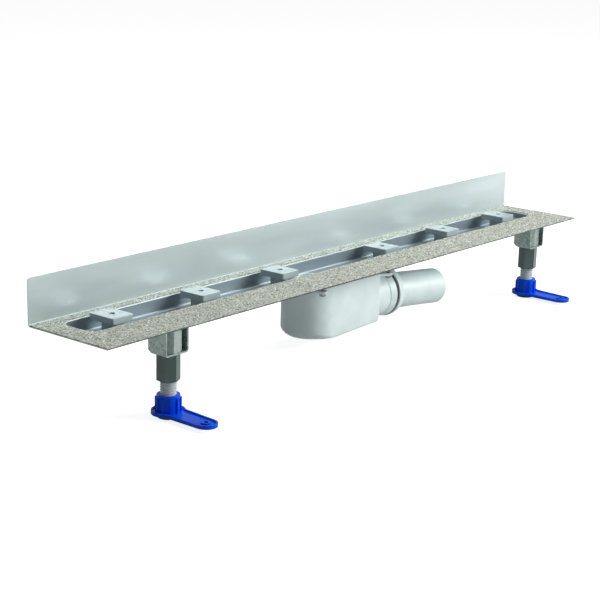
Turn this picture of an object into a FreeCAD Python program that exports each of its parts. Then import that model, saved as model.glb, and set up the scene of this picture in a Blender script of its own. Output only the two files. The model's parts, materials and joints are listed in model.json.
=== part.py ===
import FreeCAD, Part
import math
import os

# Channel drain, wall version. Millimetres, +Z up, +X along the channel, +Y towards the wall.
# The origin is the centre of the upstand's wall face.

V = FreeCAD.Vector
os.makedirs("parts", exist_ok=True)

# Channel sheet: flange and upstand folded from one strip, with the trough drawn into it
CHANNEL_LENGTH = 973.0
FLANGE_DEPTH = 129.0
UPSTAND_HEIGHT = 55.0
SHEET = 1.5
FOLD_RADIUS = 2.0
UPSTAND_CORNER = 4.0
TROUGH_END_MARGIN = 32.5
TROUGH_WIDTH = 53.0
TROUGH_DEPTH = 18.0
TROUGH_SETBACK = 18.0
TROUGH_CORNER = 15.0
TROUGH_FLOOR_RADIUS = 3.0
RAMP_RUN = 20.0
RAMP_RISE = 8.0
LIP_RADIUS = 1.0

# Quartz sand bonded to the flange's top
COAT_THICKNESS = 0.8
COAT_EDGE_MARGIN = 0.3
COAT_LIP_MARGIN = 2.5
COAT_FOLD_MARGIN = 0.5

# Cover supports: moulded blocks screwed onto studs in the trough, each set to its own height
SUPPORT_FIRST = 108.0
SUPPORT_END_MARGIN = 53.0
SUPPORT_TOPS = (6.5, 6.0, 7.0, 3.2, 5.7, 5.5)
SUPPORT_LENGTH = 33.0
SUPPORT_WIDTH = 39.0
SUPPORT_SLAB = 3.0
SUPPORT_BODY = 4.7
SUPPORT_STEP = 0.3
SUPPORT_EDGE = 2.0
LEG_LENGTH = 16.0
LEG_WIDTH = 25.0
LEG_SETBACK = 3.0
SUPPORT_STUD_RADIUS = 3.0
SUPPORT_STUD_HEIGHT = 13.0
STUD_CLEARANCE = 0.3
FLOOR_CLEARANCE = 0.3

# Trap: moulded housing with a rounded end, its lid, and the nuts and studs that hold it up
TRAP_X = -44.0
TRAP_RADIUS = 39.0
TRAP_RUN = 103.0
TRAP_HEIGHT = 63.2
TRAP_FALL = 5.3
TRAP_WALL = 2.5
TRAP_END_CORNER = 5.0
TRAP_BOTTOM_RADIUS = 9.0
WEIR_FROM_END = 52.0
WEIR_BELOW_LID = 21.5
LID_THICKNESS = 4.0
LID_COLLAR_WALL = 3.0
LID_COLLAR_DROP = 8.0
GASKET_THICKNESS = 1.0
EAR_RADIUS = 6.0
TRAP_STUD_FRONT = 15.0
TRAP_STUD_BACK = 9.0
FRONT_EAR_GAP = 10.0
BACK_EAR_GAP = 5.0
END_EAR_GAP = 11.0
TRAP_STUD_RADIUS = 2.5
TRAP_NUT_FLATS = 8.0
TRAP_NUT_HEIGHT = 4.0
STUD_END = 3.0

# Inlet ring in the trough floor and the lift-out odour trap that hangs in it
INLET_RADIUS = 20.0
INLET_RING_WALL = 2.3
INLET_RING_FLANGE = 3.0
INLET_RING_THICKNESS = 1.2
INSERT_CLEARANCE = 0.3
INSERT_WALL = 1.5
INSERT_FLANGE = 2.0
INSERT_SEAL = 1.0
DIP_BELOW_LID = 51.5
HANDLE_WIDTH = 5.0
HANDLE_THICKNESS = 3.0

# Outlet: socket, retaining ring and a DN 50 spigot whose ball swivels in them
OUTLET_BELOW_LID = 36.8
SOCKET_RADIUS = 31.4
SOCKET_BORE = 28.7
SOCKET_END = 92.4
OUTLET_HOLE = 24.0
NOSE_RADIUS = 30.2
NOSE_LENGTH = 3.6
RING_BACK_RADIUS = 31.6
RING_FRONT_RADIUS = 34.0
RING_LENGTH = 12.0
RING_MOUTH = 30.5
WIPER_LENGTH = 4.6
WIPER_RADIUS = 33.4
WIPER_LIP = 29.8
HOOD_LENGTH = 14.0
HOOD_BACK_RADIUS = 35.3
HOOD_FRONT_RADIUS = 32.0
HOOD_MOUTH = 30.6
BALL_SEAL = 2.5
BALL_RADIUS = 28.3
BALL_CLEARANCE = 0.3
BALL_FROM_SOCKET = 5.6
BALL_SEAT_LENGTH = 5.0
PIPE_RADIUS = 25.0
PIPE_WALL = 2.0
PIPE_LENGTH = 124.0
PIPE_CHAMFER = 2.0
PIPE_STOP_RADIUS = 25.6
PIPE_STOP_END = 28.0
PIPE_YAW = -5.5
PIPE_DROP = 4.8

# Feet: a bracket under each end of the flange, a hexagonal sleeve, a threaded rod and a base
FOOT_END_MARGIN = 106.6
FOOT_FRONT_MARGIN = 14.25
BRACKET_LENGTH = 36.5
BRACKET_DEPTH = 28.0
BRACKET_HEIGHT = 28.3
BRACKET_SHEET = 2.0
BRACKET_BEND = 3.5
BRACKET_CORNER = 5.0
BRACKET_HOLE = 1.8
BRACKET_HOLE_DROP = 5.0
SLEEVE_FLATS = 24.0
SLEEVE_LENGTH = 32.0
SLEEVE_NOSE = 11.0
THREAD_PLAY = 0.06
SLEEVE_TURNS = (25.0, 15.0)
LOCKNUT_HEADROOM = 0.5
LOCKNUT_PLAY = 0.1
ROD_RADIUS = 9.6
ROD_HEADROOM = 8.0
ROD_EXPOSED = 16.7
ROD_SOCKET = 12.5
ROD_GROOVE = 0.7
ROD_GROOVE_WIDTH = 2.0
HUB_RADIUS = 13.6
HUB_RIB = 1.9
HUB_RIB_WIDTH = 2.2
HUB_RIBS = 10
HUB_HEIGHT = 18.6
HUB_CHAMFER = 1.5
BASE_RADIUS = 20.0
BASE_THICKNESS = 4.4
BASE_POCKET = 1.4
BASE_RIM = 2.2
TONGUE_LENGTH = 75.0
TONGUE_ROOT = 15.5
TONGUE_TIP = 13.5
TONGUE_HOLE = 3.0
TONGUE_BOSS = 5.8
PAD_RADIUS = 13.0
PAD_THICKNESS = 4.8
FOOT_TURN = -2.2

# Levels and places that follow from the sizes above
FLANGE_TOP = -UPSTAND_HEIGHT / 2
FLANGE_UNDER = FLANGE_TOP - SHEET
UPSTAND_TOP = UPSTAND_HEIGHT / 2
TROUGH_LENGTH = CHANNEL_LENGTH - 2 * TROUGH_END_MARGIN
TROUGH_BACK = -TROUGH_SETBACK
TROUGH_FRONT = TROUGH_BACK - TROUGH_WIDTH
TROUGH_MID = (TROUGH_BACK + TROUGH_FRONT) / 2
FLOOR_TOP = FLANGE_TOP - TROUGH_DEPTH
FLOOR_UNDER = FLOOR_TOP - SHEET
SUPPORT_PITCH = (TROUGH_LENGTH / 2 - SUPPORT_END_MARGIN - SUPPORT_FIRST) / 2
LID_TOP = FLOOR_UNDER - GASKET_THICKNESS
LID_UNDER = LID_TOP - LID_THICKNESS
TRAP_BOTTOM = LID_UNDER - TRAP_HEIGHT - TRAP_FALL
TRAP_END = TRAP_X + TRAP_RUN
OUTLET_Z = LID_UNDER - OUTLET_BELOW_LID
BALL_X = SOCKET_END + BALL_FROM_SOCKET
RING_END = SOCKET_END + RING_LENGTH
WIPER_END = RING_END + WIPER_LENGTH
FOOT_X = CHANNEL_LENGTH / 2 - FOOT_END_MARGIN
FOOT_Y = FOOT_FRONT_MARGIN - FLANGE_DEPTH
BRACKET_UNDER = FLANGE_UNDER - BRACKET_HEIGHT
LOCKNUT_HEIGHT = BRACKET_HEIGHT - BRACKET_SHEET - LOCKNUT_HEADROOM
SLEEVE_UNDER = BRACKET_UNDER - SLEEVE_LENGTH
ROD_TOP = FLANGE_UNDER - ROD_HEADROOM
HUB_TOP = SLEEVE_UNDER - ROD_EXPOSED
ROD_UNDER = HUB_TOP - ROD_SOCKET
BASE_TOP = HUB_TOP - HUB_HEIGHT
BASE_UNDER = BASE_TOP - BASE_THICKNESS
INSERT_RADIUS = INLET_RADIUS - INLET_RING_WALL - INSERT_CLEARANCE


def box(x0, x1, y0, y1, z0, z1):
    return Part.makeBox(x1 - x0, y1 - y0, z1 - z0, V(x0, y0, z0))


def cylinder(radius, x, y, z0, z1):
    return Part.makeCylinder(radius, z1 - z0, V(x, y, z0))


def tube(outer, inner, x, y, z0, z1):
    return cylinder(outer, x, y, z0, z1).cut(cylinder(inner, x, y, z0, z1))


def hexagon(flats, x, y, z0, z1, first_corner):
    corner = flats / math.sqrt(3)
    angles = [math.radians(first_corner + 60 * k) for k in range(7)]
    points = [V(x + corner * math.cos(a), y + corner * math.sin(a), z0) for a in angles]
    return Part.Face(Part.makePolygon(points)).extrude(V(0, 0, z1 - z0))


def arc(start, middle, end):
    return Part.Arc(start, middle, end).toShape()


def line(start, end):
    return Part.LineSegment(start, end).toShape()


def rounded_block(x0, x1, y0, y1, z0, z1, radius):
    block = box(x0, x1, y0, y1, z0, z1)
    upright = [e for e in block.Edges if abs(e.Vertexes[0].Z - e.Vertexes[1].Z) > (z1 - z0) / 2]
    return block.makeFillet(radius, upright)


def edges_at_level(shape, z):
    return [e for e in shape.Edges if all(abs(v.Z - z) < 1e-6 for v in e.Vertexes)]


def revolved(points, arcs, centre, axis):
    """Revolves a profile of (along, radius) points; arcs maps a point's index to the arc's middle."""
    side = V(0, 0, 1) if abs(axis.z) < 0.5 else V(1, 0, 0)
    place = [centre + axis * p[0] + side * p[1] for p in points]
    edges = []
    for i, start in enumerate(place):
        end = place[(i + 1) % len(place)]
        if i in arcs:
            along, radius = arcs[i]
            edges.append(arc(start, centre + axis * along + side * radius, end))
        else:
            edges.append(line(start, end))
    return Part.Face(Part.Wire(edges)).revolve(centre, axis, 360)


def fused(shapes):
    return shapes[0].fuse(shapes[1:]).removeSplitter() if len(shapes) > 1 else shapes[0]


def on_sphere(radius, along):
    return math.sqrt(radius ** 2 - along ** 2)


def folded_strip():
    """The flange and the upstand: one strip with a rounded fold, cut to length."""
    bend = FOLD_RADIUS + SHEET
    diagonal = math.sqrt(0.5)
    centre = V(0, -bend, FLANGE_TOP + FOLD_RADIUS)
    p = [V(0, -FLANGE_DEPTH, FLANGE_UNDER), V(0, -bend, FLANGE_UNDER), V(0, 0, centre.z),
         V(0, 0, UPSTAND_TOP), V(0, -SHEET, UPSTAND_TOP), V(0, -SHEET, centre.z),
         V(0, -bend, FLANGE_TOP), V(0, -FLANGE_DEPTH, FLANGE_TOP)]
    outside = centre + V(0, bend * diagonal, -bend * diagonal)
    inside = centre + V(0, FOLD_RADIUS * diagonal, -FOLD_RADIUS * diagonal)
    wire = Part.Wire([line(p[0], p[1]), arc(p[1], outside, p[2]), line(p[2], p[3]), line(p[3], p[4]),
                      line(p[4], p[5]), arc(p[5], inside, p[6]), line(p[6], p[7]), line(p[7], p[0])])
    strip = Part.Face(wire).extrude(V(CHANNEL_LENGTH, 0, 0))
    strip.translate(V(-CHANNEL_LENGTH / 2, 0, 0))
    corners = [e for e in strip.Edges if all(abs(v.Z - UPSTAND_TOP) < 1e-6 for v in e.Vertexes)
               and abs(e.Vertexes[0].Y - e.Vertexes[1].Y) > SHEET / 2]
    return strip.makeFillet(UPSTAND_CORNER, corners)


def trough_block(offset, z0, z1, floor_radius):
    """The trough's space grown by an offset, with rounded edges and a floor that rises at both ends."""
    half = TROUGH_LENGTH / 2 + offset
    block = rounded_block(-half, half, TROUGH_FRONT - offset, TROUGH_BACK + offset, z0, z1,
                          TROUGH_CORNER + offset)
    steep = RAMP_RISE / RAMP_RUN
    foot = TROUGH_LENGTH / 2 - RAMP_RUN + offset * (math.sqrt(1 + steep ** 2) - 1) / steep
    beyond = half + offset + SHEET
    for side in (-1, 1):
        corners = [V(side * foot, TROUGH_FRONT - SHEET - offset, z0),
                   V(side * beyond, TROUGH_FRONT - SHEET - offset, z0 + (beyond - foot) * steep),
                   V(side * beyond, TROUGH_FRONT - SHEET - offset, z0 - SHEET),
                   V(side * foot, TROUGH_FRONT - SHEET - offset, z0 - SHEET)]
        wedge = Part.Face(Part.makePolygon(corners + corners[:1]))
        block = block.cut(wedge.extrude(V(0, TROUGH_WIDTH + 2 * (offset + SHEET), 0)))
    top = z1 - SHEET / 2
    foot_edges = [e for e in block.Edges if all(v.Z < top for v in e.Vertexes) and not across_floor(e, foot)]
    return block.makeFillet(floor_radius, foot_edges)


def across_floor(edge, foot):
    """Whether an edge is the shallow crease where the floor starts to rise."""
    limits = edge.BoundBox
    return abs(abs(limits.Center.x) - foot) < 1e-3 and limits.XLength < 1e-3


def channel_body():
    space = trough_block(0, FLOOR_TOP, FLANGE_TOP + SHEET, TROUGH_FLOOR_RADIUS)
    shell = trough_block(SHEET, FLOOR_UNDER, FLANGE_TOP, TROUGH_FLOOR_RADIUS + SHEET)
    body = folded_strip().fuse(shell).removeSplitter().cut(space)
    body = body.cut(cylinder(INLET_RADIUS, TRAP_X, TROUGH_MID, FLOOR_UNDER - SHEET, FLOOR_TOP + SHEET))
    lip = [e for e in edges_at_level(body, FLANGE_TOP) if inside_flange(e)]
    return body.makeFillet(LIP_RADIUS, lip)


def inside_flange(edge):
    box_of_edge = edge.BoundBox
    return (box_of_edge.YMin > TROUGH_FRONT - SHEET / 2 and box_of_edge.YMax < TROUGH_BACK + SHEET / 2
            and max(abs(box_of_edge.XMin), abs(box_of_edge.XMax)) < TROUGH_LENGTH / 2 + SHEET / 2)


def flange_sand_coat():
    half = CHANNEL_LENGTH / 2 - COAT_EDGE_MARGIN
    back = -(SHEET + FOLD_RADIUS + COAT_FOLD_MARGIN)
    plate = box(-half, half, -FLANGE_DEPTH + COAT_EDGE_MARGIN, back, FLANGE_TOP, FLANGE_TOP + COAT_THICKNESS)
    hole = TROUGH_LENGTH / 2 + COAT_LIP_MARGIN
    return plate.cut(rounded_block(-hole, hole, TROUGH_FRONT - COAT_LIP_MARGIN, TROUGH_BACK + COAT_LIP_MARGIN,
                                   FLANGE_TOP - SHEET, FLANGE_TOP + SHEET, TROUGH_CORNER + COAT_LIP_MARGIN))


def support_places():
    side = [SUPPORT_FIRST + k * SUPPORT_PITCH for k in range(3)]
    return [-x for x in reversed(side)] + side


def cover_support(x, rise):
    """A slab on a stepped body, with a leg under its front part and a bore right through."""
    top = FLANGE_TOP + rise
    slab_under = top - SUPPORT_SLAB
    body_under = slab_under - SUPPORT_BODY
    leg_under = top - (TROUGH_DEPTH + min(SUPPORT_TOPS) - FLOOR_CLEARANCE)
    half_x = SUPPORT_LENGTH / 2
    half_y = SUPPORT_WIDTH / 2
    slab = rounded_block(x - half_x, x + half_x, TROUGH_MID - half_y, TROUGH_MID + half_y, slab_under, top,
                         SUPPORT_EDGE)
    body = rounded_block(x - half_x + SUPPORT_STEP, x + half_x - SUPPORT_STEP,
                         TROUGH_MID - half_y + SUPPORT_STEP, TROUGH_MID + half_y - SUPPORT_STEP,
                         body_under, slab_under, SUPPORT_EDGE)
    front = TROUGH_MID - half_y + LEG_SETBACK
    leg = box(x - LEG_LENGTH / 2, x + LEG_LENGTH / 2, front, front + LEG_WIDTH, leg_under, body_under)
    bore = cylinder(SUPPORT_STUD_RADIUS + STUD_CLEARANCE, x, TROUGH_MID, leg_under - 1, top + 1)
    return fused([slab, body, leg]).cut(bore)


def support_studs():
    top = FLOOR_TOP + SUPPORT_STUD_HEIGHT
    return Part.makeCompound([cylinder(SUPPORT_STUD_RADIUS, x, TROUGH_MID, FLOOR_TOP, top)
                              for x in support_places()])


def trap_block(inset, bottom_radius):
    """The housing's outside, or its inside by an inset; the bottom falls towards the round end."""
    length = TRAP_RUN + TRAP_RADIUS
    block = trap_plan(inset, TRAP_BOTTOM, LID_UNDER)
    low = V(TRAP_X - TRAP_RADIUS, TROUGH_MID - TRAP_RADIUS - 1, TRAP_BOTTOM + inset)
    slope = [low, low + V(length, 0, TRAP_FALL), low + V(length, 0, -TRAP_FALL), low + V(0, 0, -TRAP_FALL)]
    below = Part.Face(Part.makePolygon(slope + slope[:1])).extrude(V(0, 2 * TRAP_RADIUS + 2, 0))
    block = block.cut(below)
    wall_top = LID_UNDER - TRAP_HEIGHT / 2
    foot_edges = [e for e in block.Edges if all(v.Z < wall_top for v in e.Vertexes)]
    return block.makeFillet(bottom_radius, foot_edges)


def trap_plan(inset, z0, z1):
    """The housing's plan, rounded at one end and square with small corners at the other."""
    radius = TRAP_RADIUS - inset
    corner = TRAP_END_CORNER - inset
    end = TRAP_END - inset
    y0 = TROUGH_MID - radius
    y1 = TROUGH_MID + radius
    shift = corner * (1 - math.sqrt(0.5))
    edges = [arc(V(TRAP_X, y1, z0), V(TRAP_X - radius, TROUGH_MID, z0), V(TRAP_X, y0, z0)),
             line(V(TRAP_X, y0, z0), V(end - corner, y0, z0)),
             arc(V(end - corner, y0, z0), V(end - shift, y0 + shift, z0), V(end, y0 + corner, z0)),
             line(V(end, y0 + corner, z0), V(end, y1 - corner, z0)),
             arc(V(end, y1 - corner, z0), V(end - shift, y1 - shift, z0), V(end - corner, y1, z0)),
             line(V(end - corner, y1, z0), V(TRAP_X, y1, z0))]
    return Part.Face(Part.Wire(edges)).extrude(V(0, 0, z1 - z0))


def outlet_centre(x=0.0):
    return V(x, TROUGH_MID, OUTLET_Z)


def outlet_cylinder(radius, x0, x1):
    return Part.makeCylinder(radius, x1 - x0, outlet_centre(x0), V(1, 0, 0))


def trap_housing():
    outer = trap_block(0, TRAP_BOTTOM_RADIUS)
    inner = trap_block(TRAP_WALL, TRAP_BOTTOM_RADIUS - TRAP_WALL)
    weir_x = TRAP_END - WEIR_FROM_END
    above_weir = box(weir_x, weir_x + TRAP_WALL, TROUGH_MID - TRAP_RADIUS, TROUGH_MID + TRAP_RADIUS,
                     TRAP_BOTTOM, LID_UNDER - WEIR_BELOW_LID)
    cavity = inner.cut(above_weir)
    socket = outlet_cylinder(SOCKET_RADIUS, TRAP_END - TRAP_WALL, SOCKET_END)
    nose = outlet_cylinder(NOSE_RADIUS, TRAP_END, SOCKET_END + NOSE_LENGTH)
    shell = fused([outer, socket, nose])
    shell = shell.cut(outlet_cylinder(SOCKET_BORE, TRAP_END, SOCKET_END + NOSE_LENGTH + 1))
    shell = shell.cut(outlet_cylinder(OUTLET_HOLE, TRAP_END - 2 * TRAP_WALL, TRAP_END + 1))
    return shell.cut(cavity)


def trap_stud_places():
    """Stud centres, in two rows outside the trough, with the point on the lid that each ear runs to."""
    rows = ((TROUGH_FRONT - TRAP_STUD_FRONT, FRONT_EAR_GAP), (TROUGH_BACK + TRAP_STUD_BACK, BACK_EAR_GAP))
    places = []
    for y, gap in rows:
        side = math.copysign(TRAP_RADIUS - EAR_RADIUS, y - TROUGH_MID)
        beside_round_end = TRAP_X - math.sqrt((TRAP_RADIUS + gap) ** 2 - (y - TROUGH_MID) ** 2)
        places.append((V(beside_round_end, y, 0), V(TRAP_X, TROUGH_MID, 0)))
        places.append((V(TRAP_END + END_EAR_GAP, y, 0), V(TRAP_END - EAR_RADIUS, TROUGH_MID + side, 0)))
    return places


def ear(stud, root):
    """A round lug about a stud, joined to the lid by an arm of the same width."""
    run = root - stud
    arm = box(0, run.Length, -EAR_RADIUS, EAR_RADIUS, LID_UNDER, LID_TOP)
    arm.rotate(V(0, 0, 0), V(0, 0, 1), math.degrees(math.atan2(run.y, run.x)))
    arm.translate(stud)
    return fused([cylinder(EAR_RADIUS, stud.x, stud.y, LID_UNDER, LID_TOP), arm])


def trap_lid():
    plate = trap_plan(0, LID_UNDER, LID_TOP)
    collar_under = LID_UNDER - LID_COLLAR_DROP
    collar = cylinder(INLET_RADIUS + LID_COLLAR_WALL, TRAP_X, TROUGH_MID, collar_under, LID_TOP)
    lid = fused([plate, collar] + [ear(stud, root) for stud, root in trap_stud_places()])
    lid = lid.cut(cylinder(INLET_RADIUS, TRAP_X, TROUGH_MID, collar_under - 1, LID_TOP + 1))
    for stud, _ in trap_stud_places():
        hole = cylinder(TRAP_STUD_RADIUS + STUD_CLEARANCE, stud.x, stud.y, LID_UNDER - 1, LID_TOP + 1)
        lid = lid.cut(hole)
    return lid


def trap_studs():
    low = LID_UNDER - TRAP_NUT_HEIGHT - STUD_END
    return Part.makeCompound([cylinder(TRAP_STUD_RADIUS, stud.x, stud.y, low, FLANGE_UNDER)
                              for stud, _ in trap_stud_places()])


def trap_nuts():
    low = LID_UNDER - TRAP_NUT_HEIGHT
    nuts = []
    for stud, _ in trap_stud_places():
        nut = hexagon(TRAP_NUT_FLATS, stud.x, stud.y, low, LID_UNDER, 0)
        nuts.append(nut.cut(cylinder(TRAP_STUD_RADIUS, stud.x, stud.y, low, LID_UNDER)))
    return Part.makeCompound(nuts)


def inlet_gasket():
    return tube(INLET_RADIUS + INLET_RING_FLANGE, INLET_RADIUS, TRAP_X, TROUGH_MID, LID_TOP, FLOOR_UNDER)


def inlet_ring():
    low = LID_UNDER - LID_COLLAR_DROP
    flange_top = FLOOR_TOP + INLET_RING_THICKNESS
    neck = cylinder(INLET_RADIUS - THREAD_PLAY, TRAP_X, TROUGH_MID, low, FLOOR_TOP)
    flange = cylinder(INLET_RADIUS + INLET_RING_FLANGE, TRAP_X, TROUGH_MID, FLOOR_TOP, flange_top)
    bore = cylinder(INLET_RADIUS - INLET_RING_WALL, TRAP_X, TROUGH_MID, low - 1, flange_top + 1)
    return fused([neck, flange]).cut(bore)


def insert_seal():
    low = FLOOR_TOP + INLET_RING_THICKNESS
    return tube(INLET_RADIUS, INLET_RADIUS - INLET_RING_WALL, TRAP_X, TROUGH_MID, low, low + INSERT_SEAL)


def odour_trap_insert():
    """A dip tube hung from a flange, with a bar across its mouth to lift it out by."""
    seat = FLOOR_TOP + INLET_RING_THICKNESS + INSERT_SEAL
    top = seat + INSERT_FLANGE
    low = LID_UNDER - DIP_BELOW_LID
    bore = INSERT_RADIUS - INSERT_WALL
    shell = fused([cylinder(INSERT_RADIUS, TRAP_X, TROUGH_MID, low, seat),
                   cylinder(INLET_RADIUS, TRAP_X, TROUGH_MID, seat, top)])
    shell = shell.cut(cylinder(bore, TRAP_X, TROUGH_MID, low - 1, top + 1))
    half = bore + INSERT_WALL / 2
    handle = box(TRAP_X - half, TRAP_X + half, TROUGH_MID - HANDLE_WIDTH / 2, TROUGH_MID + HANDLE_WIDTH / 2,
                 top - HANDLE_THICKNESS, top)
    return fused([shell, handle])


def outlet_retaining_ring():
    """Screws onto the socket's nose; its seat is part of a sphere about the ball's centre."""
    seat = BALL_RADIUS + BALL_CLEARANCE
    shoulder = NOSE_LENGTH + BALL_SEAL
    seat_start = shoulder - BALL_FROM_SOCKET
    seat_end = BALL_SEAT_LENGTH
    seat_middle = (seat_start + seat_end) / 2
    points = [(0, NOSE_RADIUS + THREAD_PLAY), (shoulder, NOSE_RADIUS + THREAD_PLAY),
              (shoulder, on_sphere(seat, seat_start)),
              (BALL_FROM_SOCKET + seat_end, on_sphere(seat, seat_end)),
              (RING_LENGTH, RING_MOUTH), (RING_LENGTH, RING_FRONT_RADIUS), (0, RING_BACK_RADIUS)]
    arcs = {2: (BALL_FROM_SOCKET + seat_middle, on_sphere(seat, seat_middle))}
    return revolved(points, arcs, outlet_centre(SOCKET_END), V(1, 0, 0))


def outlet_ball_seal():
    start = NOSE_LENGTH
    points = [(start, BALL_RADIUS + BALL_CLEARANCE), (start + BALL_SEAL, BALL_RADIUS + BALL_CLEARANCE),
              (start + BALL_SEAL, NOSE_RADIUS), (start, NOSE_RADIUS)]
    return revolved(points, {}, outlet_centre(SOCKET_END), V(1, 0, 0))


def outlet_wiper_ring():
    points = [(0, RING_MOUTH), (WIPER_LENGTH, WIPER_LIP), (WIPER_LENGTH, WIPER_RADIUS), (0, WIPER_RADIUS)]
    return revolved(points, {}, outlet_centre(RING_END), V(1, 0, 0))


def outlet_hood():
    """A domed collar in front of the wiper; its mouth leaves the spigot room to swivel."""
    points = [(0, HOOD_MOUTH), (HOOD_LENGTH, HOOD_MOUTH),
              (HOOD_LENGTH, HOOD_FRONT_RADIUS), (0, HOOD_BACK_RADIUS)]
    bulge = (HOOD_BACK_RADIUS - HOOD_FRONT_RADIUS) / 3
    middle_radius = (HOOD_BACK_RADIUS + HOOD_FRONT_RADIUS) / 2 + bulge
    return revolved(points, {2: (HOOD_LENGTH / 2, middle_radius)}, outlet_centre(WIPER_END), V(1, 0, 0))


def outlet_pipe():
    """The spigot, its shoulder and its hollow ball in one, swivelled aside and down about the ball's centre."""
    bore = PIPE_RADIUS - PIPE_WALL
    rear = bore + PIPE_WALL / 2
    back = -on_sphere(BALL_RADIUS, rear)
    neck = on_sphere(BALL_RADIUS, PIPE_STOP_RADIUS)
    points = [(back, rear), (neck, PIPE_STOP_RADIUS), (PIPE_STOP_END, PIPE_STOP_RADIUS),
              (PIPE_STOP_END, PIPE_RADIUS), (PIPE_LENGTH - PIPE_CHAMFER, PIPE_RADIUS),
              (PIPE_LENGTH, PIPE_RADIUS - PIPE_CHAMFER / 2), (PIPE_LENGTH, bore), (back, bore)]
    pipe = revolved(points, {0: (0, BALL_RADIUS)}, outlet_centre(BALL_X), V(1, 0, 0))
    pipe.rotate(outlet_centre(BALL_X), V(0, 1, 0), PIPE_DROP)
    pipe.rotate(outlet_centre(BALL_X), V(0, 0, 1), PIPE_YAW)
    return pipe


def foot_bracket(x):
    """A U bent from strip, open to the front, with cut back corners and a hole for the sleeve's nose."""
    half = BRACKET_LENGTH / 2
    y0 = FOOT_Y - BRACKET_DEPTH / 2
    y1 = FOOT_Y + BRACKET_DEPTH / 2
    block = box(x - half, x + half, y0, y1, BRACKET_UNDER, FLANGE_UNDER)
    floor = BRACKET_UNDER + BRACKET_SHEET
    outside = x - half - 1
    block = block.makeFillet(BRACKET_BEND, along_y_edges(block, BRACKET_UNDER))
    space = box(x - half + BRACKET_SHEET, x + half - BRACKET_SHEET, y0 - 1, y1 + 1, floor, FLANGE_UNDER + 1)
    space = space.makeFillet(BRACKET_BEND - BRACKET_SHEET, along_y_edges(space, floor))
    bracket = block.cut(space)
    corner = Part.makePolygon([V(outside, y1 + 1, BRACKET_UNDER - 1),
                               V(outside, y1 - BRACKET_CORNER, BRACKET_UNDER - 1),
                               V(outside, y1 + 1, BRACKET_UNDER + BRACKET_CORNER),
                               V(outside, y1 + 1, BRACKET_UNDER - 1)])
    bracket = bracket.cut(Part.Face(corner).extrude(V(BRACKET_LENGTH + 2, 0, 0)))
    bracket = bracket.cut(cylinder(SLEEVE_NOSE + THREAD_PLAY, x, FOOT_Y, BRACKET_UNDER - 1, floor + 1))
    hole_start = V(outside, FOOT_Y, FLANGE_UNDER - BRACKET_HOLE_DROP)
    return bracket.cut(Part.makeCylinder(BRACKET_HOLE, BRACKET_LENGTH + 2, hole_start, V(1, 0, 0)))


def along_y_edges(shape, z):
    return [e for e in edges_at_level(shape, z) if abs(e.Vertexes[0].X - e.Vertexes[1].X) < 1e-6]


def leg_locknut(x):
    """Its corners stand between the bracket's sides, which keep it from turning."""
    low = BRACKET_UNDER + BRACKET_SHEET
    flats = (BRACKET_LENGTH / 2 - BRACKET_SHEET - LOCKNUT_PLAY) * math.sqrt(3)
    nut = hexagon(flats, x, FOOT_Y, low, low + LOCKNUT_HEIGHT, 0)
    return nut.cut(cylinder(SLEEVE_NOSE + THREAD_PLAY, x, FOOT_Y, low, low + LOCKNUT_HEIGHT))


def leg_sleeve(x, turn):
    body = hexagon(SLEEVE_FLATS, x, FOOT_Y, SLEEVE_UNDER, BRACKET_UNDER, turn)
    nose = cylinder(SLEEVE_NOSE, x, FOOT_Y, BRACKET_UNDER, BRACKET_UNDER + BRACKET_SHEET + LOCKNUT_HEIGHT)
    bore = cylinder(ROD_RADIUS + THREAD_PLAY, x, FOOT_Y, SLEEVE_UNDER - 1, FLANGE_UNDER)
    return fused([body, nose]).cut(bore)


def groove_levels():
    middle = ROD_UNDER + ROD_SOCKET / 2
    return middle - ROD_GROOVE_WIDTH / 2, middle + ROD_GROOVE_WIDTH / 2


def leg_rod(x):
    low, high = groove_levels()
    rod = cylinder(ROD_RADIUS, x, FOOT_Y, ROD_UNDER, ROD_TOP)
    return rod.cut(tube(ROD_RADIUS + 1, ROD_RADIUS - ROD_GROOVE, x, FOOT_Y, low, high))


def base_outline(inset, z0, z1):
    """The round base with its tongue towards the front, as one plan."""
    root = TONGUE_ROOT - inset
    tip = TONGUE_TIP - inset
    tip_y = -(TONGUE_LENGTH - TONGUE_TIP)
    edges = [line(V(-root, 0, z0), V(-tip, tip_y, z0)),
             arc(V(-tip, tip_y, z0), V(0, tip_y - tip, z0), V(tip, tip_y, z0)),
             line(V(tip, tip_y, z0), V(root, 0, z0)), line(V(root, 0, z0), V(-root, 0, z0))]
    tongue = Part.Face(Part.Wire(edges)).extrude(V(0, 0, z1 - z0))
    return fused([cylinder(BASE_RADIUS - inset, 0, 0, z0, z1), tongue])


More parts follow.
